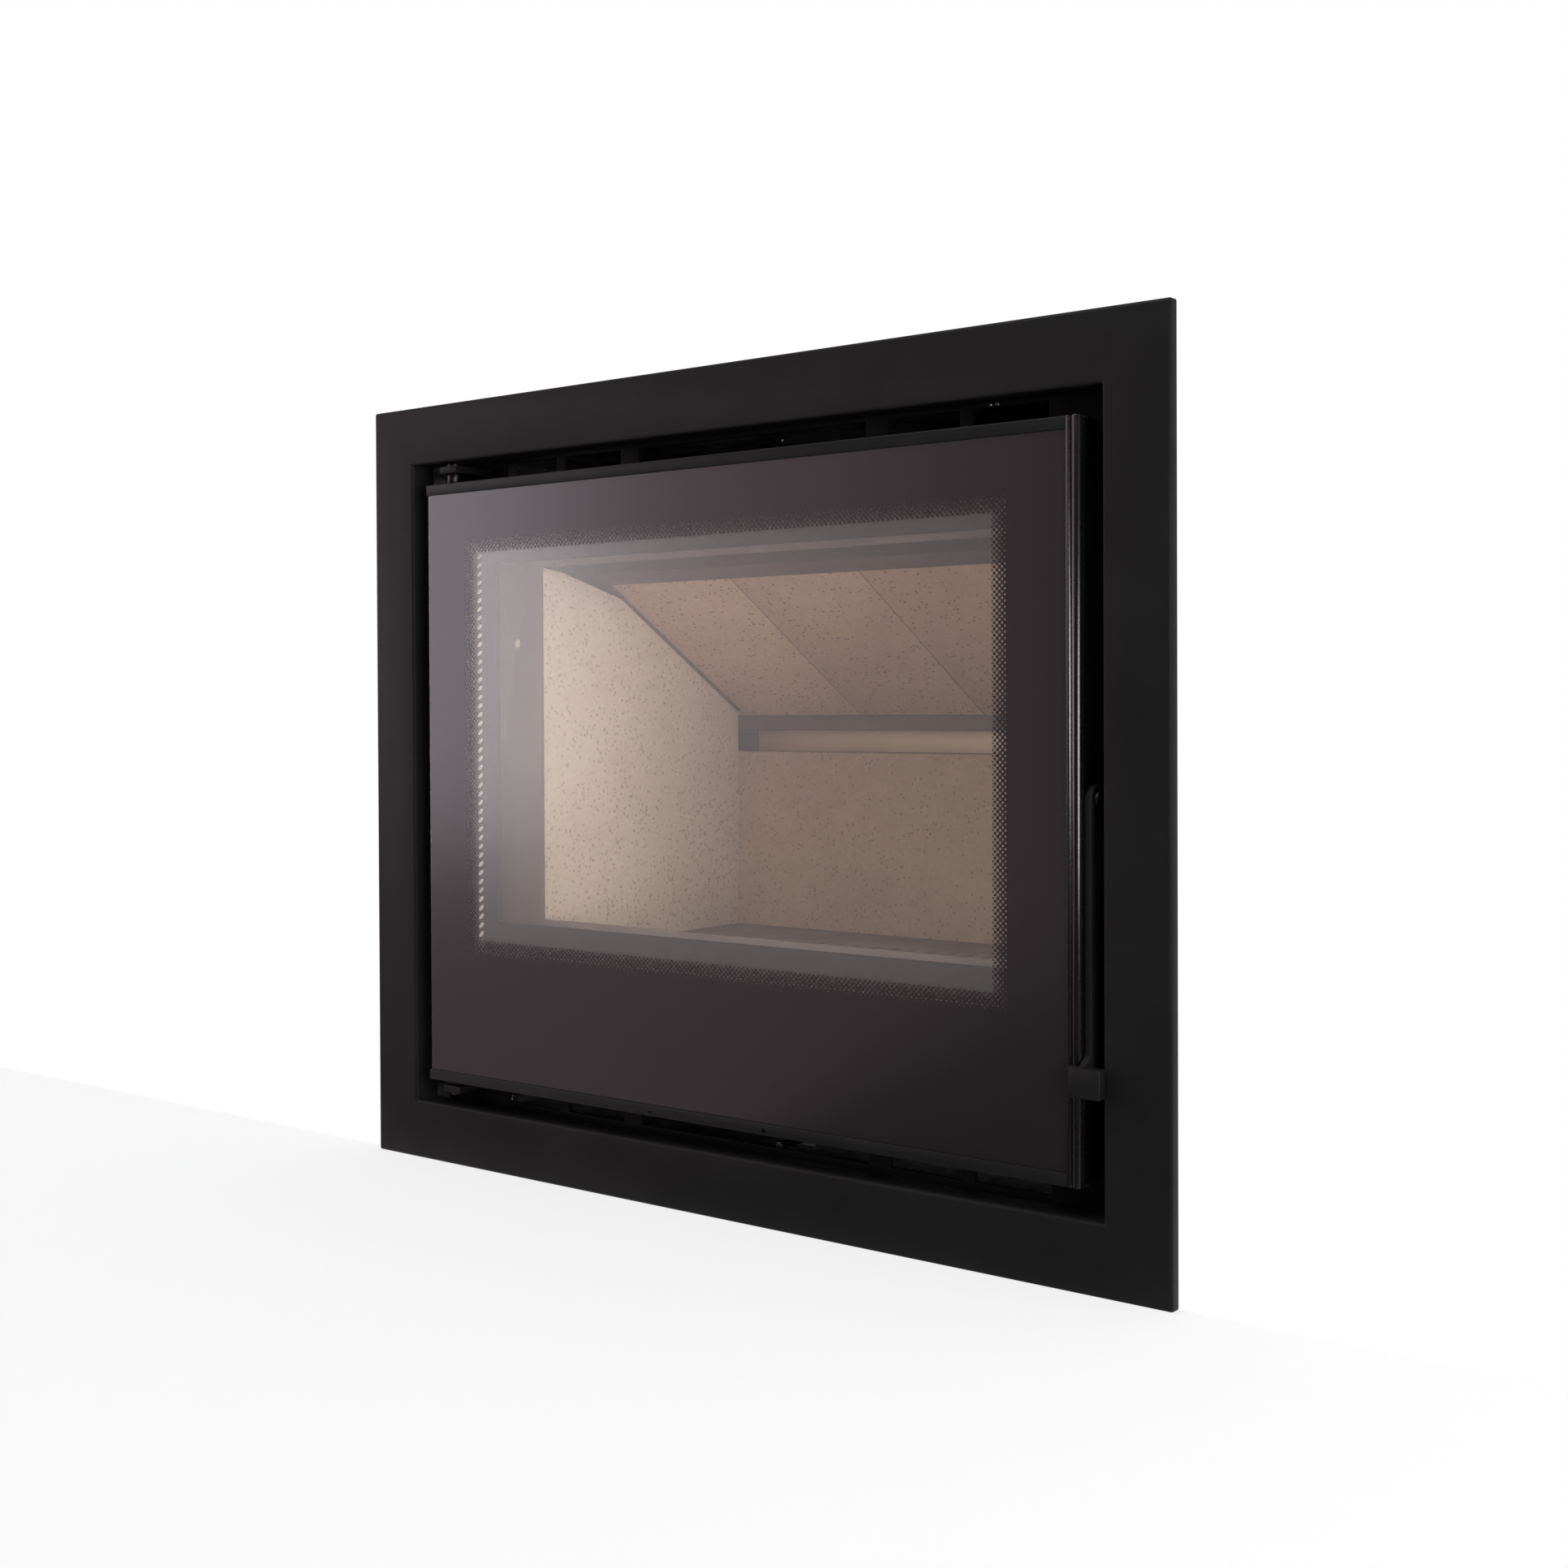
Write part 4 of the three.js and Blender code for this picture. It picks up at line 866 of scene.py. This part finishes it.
def pressed_rib(bm, middle, along, normal):
    """A long rounded rib, pressed out of a panel to stiffen it."""
    along, normal = Vector(along), Vector(normal)
    across = normal.cross(along)
    reach = RIB_LENGTH / 2 - RIB_HALF_WIDTH
    rings = []
    for inset, rise in RIB_SECTION:
        half = RIB_HALF_WIDTH * (1 - inset)
        ring = []
        for i in range(RIB_STEPS):
            angle = math.tau * (i + 0.5) / RIB_STEPS
            shift = reach if math.cos(angle) > 0 else -reach
            ring.append(bm.verts.new(
                middle + along * (half * math.cos(angle) + shift) + across * (half * math.sin(angle))
                + normal * (RIB_HEIGHT * rise)
            ))
        rings.append(ring)
    skin(bm, rings)
    bm.faces.new(rings[-1])


SCREW_INSET = 12 * MM  # from the casing's corners
SCREWS_ACROSS = 5
SCREWS_UP = 3
SCREWS_DEEP = 4  # along each side of the top
TOP_SCREWS_FRONT = 40 * MM  # from the front flange to the first, and from the last to the back
TOP_SCREWS_BACK = 20 * MM
TOP_FLANGE = 22 * MM  # the front flange's height over the top
PLATE_PLACE = (110 * MM, 150 * MM)  # from the back's corner
PLATE_HALF = (45, 28)  # millimetres
PLATE_THICKNESS = 0.8
PLATE_CORNER = 4 * MM
RIVET_PLACE = (39, 22)


def make_casing_screws():
    """Screws round the casing's back, and along the sides of its top."""
    low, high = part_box("casing_back")
    top_low, top_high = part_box("casing_top")
    screws = bmesh.new()
    inset = SCREW_INSET
    for i in range(SCREWS_ACROSS):
        x = low.x + inset + (high.x - low.x - 2 * inset) * i / (SCREWS_ACROSS - 1)
        for z in (low.z + inset, high.z - inset):
            hex_screw(screws, (x, high.y, z), (0, 1, 0))
    for i in range(1, SCREWS_UP + 1):
        z = low.z + inset + (high.z - low.z - 2 * inset) * i / (SCREWS_UP + 1)
        for x in (low.x + inset, high.x - inset):
            hex_screw(screws, (x, high.y, z), (0, 1, 0))
    depth = top_high.y - top_low.y - TOP_SCREWS_FRONT - TOP_SCREWS_BACK
    for side in (-1, 1):
        for i in range(SCREWS_DEEP):
            y = top_low.y + TOP_SCREWS_FRONT + depth * i / (SCREWS_DEEP - 1)
            hex_screw(screws, (side * (high.x - inset), y, top_high.z - TOP_FLANGE), (0, 0, 1))
    mesh = mesh_from(screws, "casing_screws", 35)
    keep("casing_screws", mesh, "stove_body", "galvanised_steel", ZINC)


def make_casing_ribs():
    """Stiffening ribs, pressed out of the casing's sides."""
    low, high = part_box("casing_right")
    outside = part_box("casing_back")[1].x
    ribs = bmesh.new()
    for side in (-1, 1):
        for share in RIB_PLACES:
            middle = Vector((side * outside, low.y + (high.y - low.y) * share, (low.z + high.z) / 2))
            pressed_rib(ribs, middle, (0, 0, 1), (side, 0, 0))
    bmesh.ops.recalc_face_normals(ribs, faces=ribs.faces)
    mesh = mesh_from(ribs, "casing_ribs", 60)
    keep("casing_ribs", mesh, "stove_body", "galvanised_steel", FINISHES["galvanised_steel"])


def make_rating_plate():
    """A bare rating plate, riveted to the casing's back."""
    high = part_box("casing_back")[1]
    spot = Vector((high.x - PLATE_PLACE[0], high.y, high.z - PLATE_PLACE[1]))
    half_x, half_z = PLATE_HALF
    plate = bmesh.new()
    slab(
        plate, spot + Vector((-half_x, 0, -half_z)) * MM,
        spot + Vector((half_x, PLATE_THICKNESS, half_z)) * MM,
    )
    upright = [edge for edge in plate.edges if abs(edge.verts[0].co.y - edge.verts[1].co.y) > 0.5 * MM]
    bmesh.ops.bevel(plate, geom=upright, offset=PLATE_CORNER, segments=4, affect="EDGES", profile=0.5)
    piece = keep("rating_plate", mesh_from(plate, "rating_plate"), "stove_body", "stainless_steel", ZINC)
    ease_edges(piece, 0.2 * MM)

    rivets = bmesh.new()
    out, up = RIVET_PLACE
    for x in (-out, out):
        for z in (-up, up):
            place = axis_place(spot + Vector((x, PLATE_THICKNESS, z)) * MM, (0, 1, 0))
            lathe(rivets, place, [(2.6, 0), (2.5, 0.5), (1.9, 1.1), (0.9, 1.45)], 20)
    keep("plate_rivets", mesh_from(rivets, "plate_rivets", 50), "stove_body", "galvanised_steel", ZINC)


PLATE_SCREW_X = (225.2, 230.9)  # millimetres, over the upper right-hand slot
PLATE_SCREW_DROP = 34.8  # below the front flange's edge


def make_plate_screws():
    """Two small screws that hold a clip behind the front plate, over its upper slots."""
    plate_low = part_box("front_plate")[0]
    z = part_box("casing_top")[1].z - PLATE_SCREW_DROP * MM
    bm = bmesh.new()
    for x in PLATE_SCREW_X:
        place = axis_place((x * MM, plate_low.y, z), (0, -1, 0))
        lathe(bm, place, [(1.5, 0), (1.5, 0.4), (1.25, 0.9), (0.7, 1.2), (0.5, 0.9)], 20)
    keep("plate_screws", mesh_from(bm, "plate_screws", 40), "stove_body", "galvanised_steel", ZINC)


AIR_HOLE = (263.8, 449.0)  # millimetres: its distance from the middle, and its height
PEG_RADIUS = 3.7
PEG_SEAT = 2.6  # behind the frame's face


def make_board_pegs():
    """Pegs of the lining's own board, which close the hole at each side of the firebox opening."""
    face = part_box("firebox_front")[0].y / MM
    out, rise = AIR_HOLE
    bm = bmesh.new()
    for side in (-1, 1):
        place = axis_place(Vector((side * out, face + PEG_SEAT, rise)) * MM, (0, -1, 0))
        lathe(bm, place, [(PEG_RADIUS, 0), (PEG_RADIUS, 1.5), (PEG_RADIUS - 0.3, 1.9)], 32)
    mesh = mesh_from(bm, "board_pegs", 40)
    keep("board_pegs", mesh, "stove_body", "vermiculite", FINISHES["vermiculite"])


# ------------------------------------------------------------------ studio

ROOM_DIM = 0.07  # brightness of the room before the door, as gloss mirrors it
# Slants at which the daylight from the left starts and is full, and its full brightness.
ROOM_GLOW = (0.56, 0.8, 1.1)
FLOOR_GLOW = (0.25, 0.42, 0.55)
ROOM_TINT = "#ffdae4"
ROOM_EDGE = (-0.25, 0.05)  # ways in Y over which the mirrored room turns into the white behind
ROOM_LIGHT = (1.25, 0.15)  # the room's plain light at the left, and everywhere else
LEFT_WAYS = (-1.0, -0.3)
LEAST_AWAY = -0.02  # keeps the slant finite beside the door
FLOOR_SHOWN = 0.72  # share of plain white in the floor, which leaves the rest for shadow


def mix(tree, share, first, second):
    return put(tree, "MixShader", {0: share, 1: first, 2: second}).outputs[0]


def glow(tree, kind, colour, strength):
    return put(tree, kind, {"Color": linear(colour), "Strength": strength}).outputs[0]


def room_before_door(tree, x, y, start, full, bright):
    """Brightness of the room that the door mirrors, which grows towards the left."""
    slant = calculate(tree, "DIVIDE", x, calculate(tree, "MINIMUM", y, LEAST_AWAY))
    return spread(tree, slant, ROOM_DIM, bright, start, full)


def camera_white(name, shown, fades=False):
    """Plain white stage: white to the camera, with a share left to take the shadow.
    Where it fades, gloss mirrors it as the dim room before the door."""
    material = bpy.data.materials.new(name)
    material.use_nodes = True
    tree = material.node_tree
    tree.nodes.clear()
    path = put(tree, "LightPath").outputs
    seen = calculate(tree, "MAXIMUM", path["Is Camera Ray"], path["Is Transmission Ray"])
    matt = put(tree, "BsdfDiffuse", {"Color": linear("#f2f2f2")}).outputs[0]
    white = glow(tree, "Emission", WHITE, 1.0)
    mirrored = white
    if fades:
        spot = put(tree, "SeparateXYZ", {0: put(tree, "NewGeometry").outputs["Position"]}).outputs
        brightness = room_before_door(tree, spot["X"], spot["Y"], *FLOOR_GLOW)
        behind = spread(tree, spot["Y"], 0, 1, FADE_END, FADE_START)
        mirrored = mix(tree, behind, glow(tree, "Emission", ROOM_TINT, brightness), white)
    plain = mix(tree, calculate(tree, "MULTIPLY", seen, shown), matt, white)
    # A look through the glass counts as glossy too, but mirrors nothing.
    first = calculate(tree, "LESS_THAN", path["Diffuse Depth"], 0.5)
    through = calculate(tree, "MULTIPLY", path["Is Transmission Ray"], first)
    gloss = calculate(tree, "SUBTRACT", path["Is Glossy Ray"], through, use_clamp=True)
    put(tree, "OutputMaterial", {"Surface": mix(tree, gloss, plain, mirrored)})
    return material


def stage_sheet(name, quads, material):
    mesh = bpy.data.meshes.new(name)
    corners = [corner for quad in quads for corner in quad]
    mesh.from_pydata(corners, [], [tuple(range(4 * i, 4 * i + 4)) for i in range(len(quads))])
    mesh.materials.append(material)
    sheet = bpy.data.objects.new(name, mesh)
    bpy.context.scene.collection.objects.link(sheet)


FLOOR_REACH = 4.0
WALL_REACH = 2.2
WALL_HEIGHT = 2.6
WALL_GAP = 0.5 * MM
CASING_FLANGE = 2 * MM
FADE_START = -0.19  # just behind the wall's face
FADE_END = -0.26


def make_stage():
    reach = FLOOR_REACH
    floor = [(-reach, -reach, 0), (reach, -reach, 0), (reach, reach, 0), (-reach, reach, 0)]
    stage_sheet("floor", [floor], camera_white("floor_white", FLOOR_SHOWN, fades=True))

    # The wall that the insert is built into stands behind the surround, open where the body passes.
    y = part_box("casing_left")[0].y + CASING_FLANGE + WALL_GAP
    hole_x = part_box("casing_back")[1].x + WALL_GAP
    hole_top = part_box("casing_back")[1].z + WALL_GAP
    spans = [
        (-WALL_REACH, -hole_x, 0, WALL_HEIGHT),
        (hole_x, WALL_REACH, 0, WALL_HEIGHT),
        (-hole_x, hole_x, hole_top, WALL_HEIGHT),
    ]
    quads = [[(a, y, c), (b, y, c), (b, y, d), (a, y, d)] for a, b, c, d in spans]
    stage_sheet("wall", quads, camera_white("wall_white", 1.0))


def area_lamp(name, place, target, size, power, colour=WHITE):
    data = bpy.data.lights.new(name, "AREA")
    data.shape = "RECTANGLE"
    data.size, data.size_y = size
    data.energy = power
    data.color = linear(colour)[:3]
    lamp = bpy.data.objects.new(name, data)
    lamp.location = place
    lamp.rotation_euler = (Vector(target) - Vector(place)).to_track_quat("-Z", "Y").to_euler()
    bpy.context.scene.collection.objects.link(lamp)


def make_world():
    """White behind the object, and a dim room before it, which is what the door mirrors."""
    world = bpy.data.worlds.new("studio")
    bpy.context.scene.world = world
    world.use_nodes = True
    world.cycles.sampling_method = "NONE"
    tree = world.node_tree
    tree.nodes.clear()
    path = put(tree, "LightPath").outputs
    way = put(tree, "SeparateXYZ", {0: put(tree, "TexCoord").outputs["Generated"]}).outputs
    backdrop = glow(tree, "Background", WHITE, 1.0)
    brightness = room_before_door(tree, way["X"], way["Y"], *ROOM_GLOW)
    before = glow(tree, "Background", ROOM_TINT, brightness)
    mirrored = mix(tree, spread(tree, way["Y"], 0, 1, *ROOM_EDGE), before, backdrop)
    room = glow(tree, "Background", WHITE, spread(tree, way["X"], *ROOM_LIGHT, *LEFT_WAYS))
    seen = calculate(tree, "MAXIMUM", path["Is Camera Ray"], path["Is Transmission Ray"])
    lit = mix(tree, path["Is Glossy Ray"], room, mirrored)
    put(tree, "OutputWorld", {"Surface": mix(tree, seen, lit, backdrop)})


DOOR_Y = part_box("trim_frame")[0].y


def lamp_place(azimuth, distance, height):
    """A spot round the door's middle: degrees right of straight ahead of the door, and metres."""
    angle = math.radians(azimuth)
    return (distance * math.sin(angle), DOOR_Y - distance * math.cos(angle), height)


def make_lamps():
    door, body = (0, DOOR_Y, 0.36), (0, 0, 0.3)
    area_lamp("left_softbox", lamp_place(-64, 2.2, 0.58), door, (1.3, 0.9), 7.6, "#fbf8ff")
    area_lamp("key", lamp_place(66, 2.4, 0.5), door, (1.0, 1.0), 31.5)
    area_lamp("top_softbox", (0.1, -1.1, 2.2), door, (1.5, 0.8), 18)
    area_lamp("rear_softbox", (-1.4, 2.2, 1.8), body, (1.4, 1.4), 45)
    area_lamp("side_softbox", (2.4, 1.6, 1.4), body, (1.2, 1.2), 35)


AIR_TRAVEL = next(
    joint["range_m"][1] for joint in frame["record"]["behaviour"]["joints"]
    if joint["name"] == "air_slide_travel"
)
TURNED = {"flue_collar", "rope_gasket", "pivot_bolt"}
TURNED |= {f"hot_air_spigot_{side}" for side in SIDES} | {f"foot_{end}" for end in FOOT_ENDS}

make_camera()
make_stage()
make_world()
make_lamps()
dress_solids(TURNED | {"door_glass"})
make_glass()
make_rope()
make_marks(AIR_TRAVEL)
make_pivot_bolt()
make_flue_collar()
make_spigots()
make_spigot_dampers()
make_feet()
make_casing_screws()
make_casing_ribs()
make_rating_plate()
make_plate_screws()
make_board_pegs()
make_baffle_joints()

bpy.context.scene.view_settings.view_transform = "Standard"
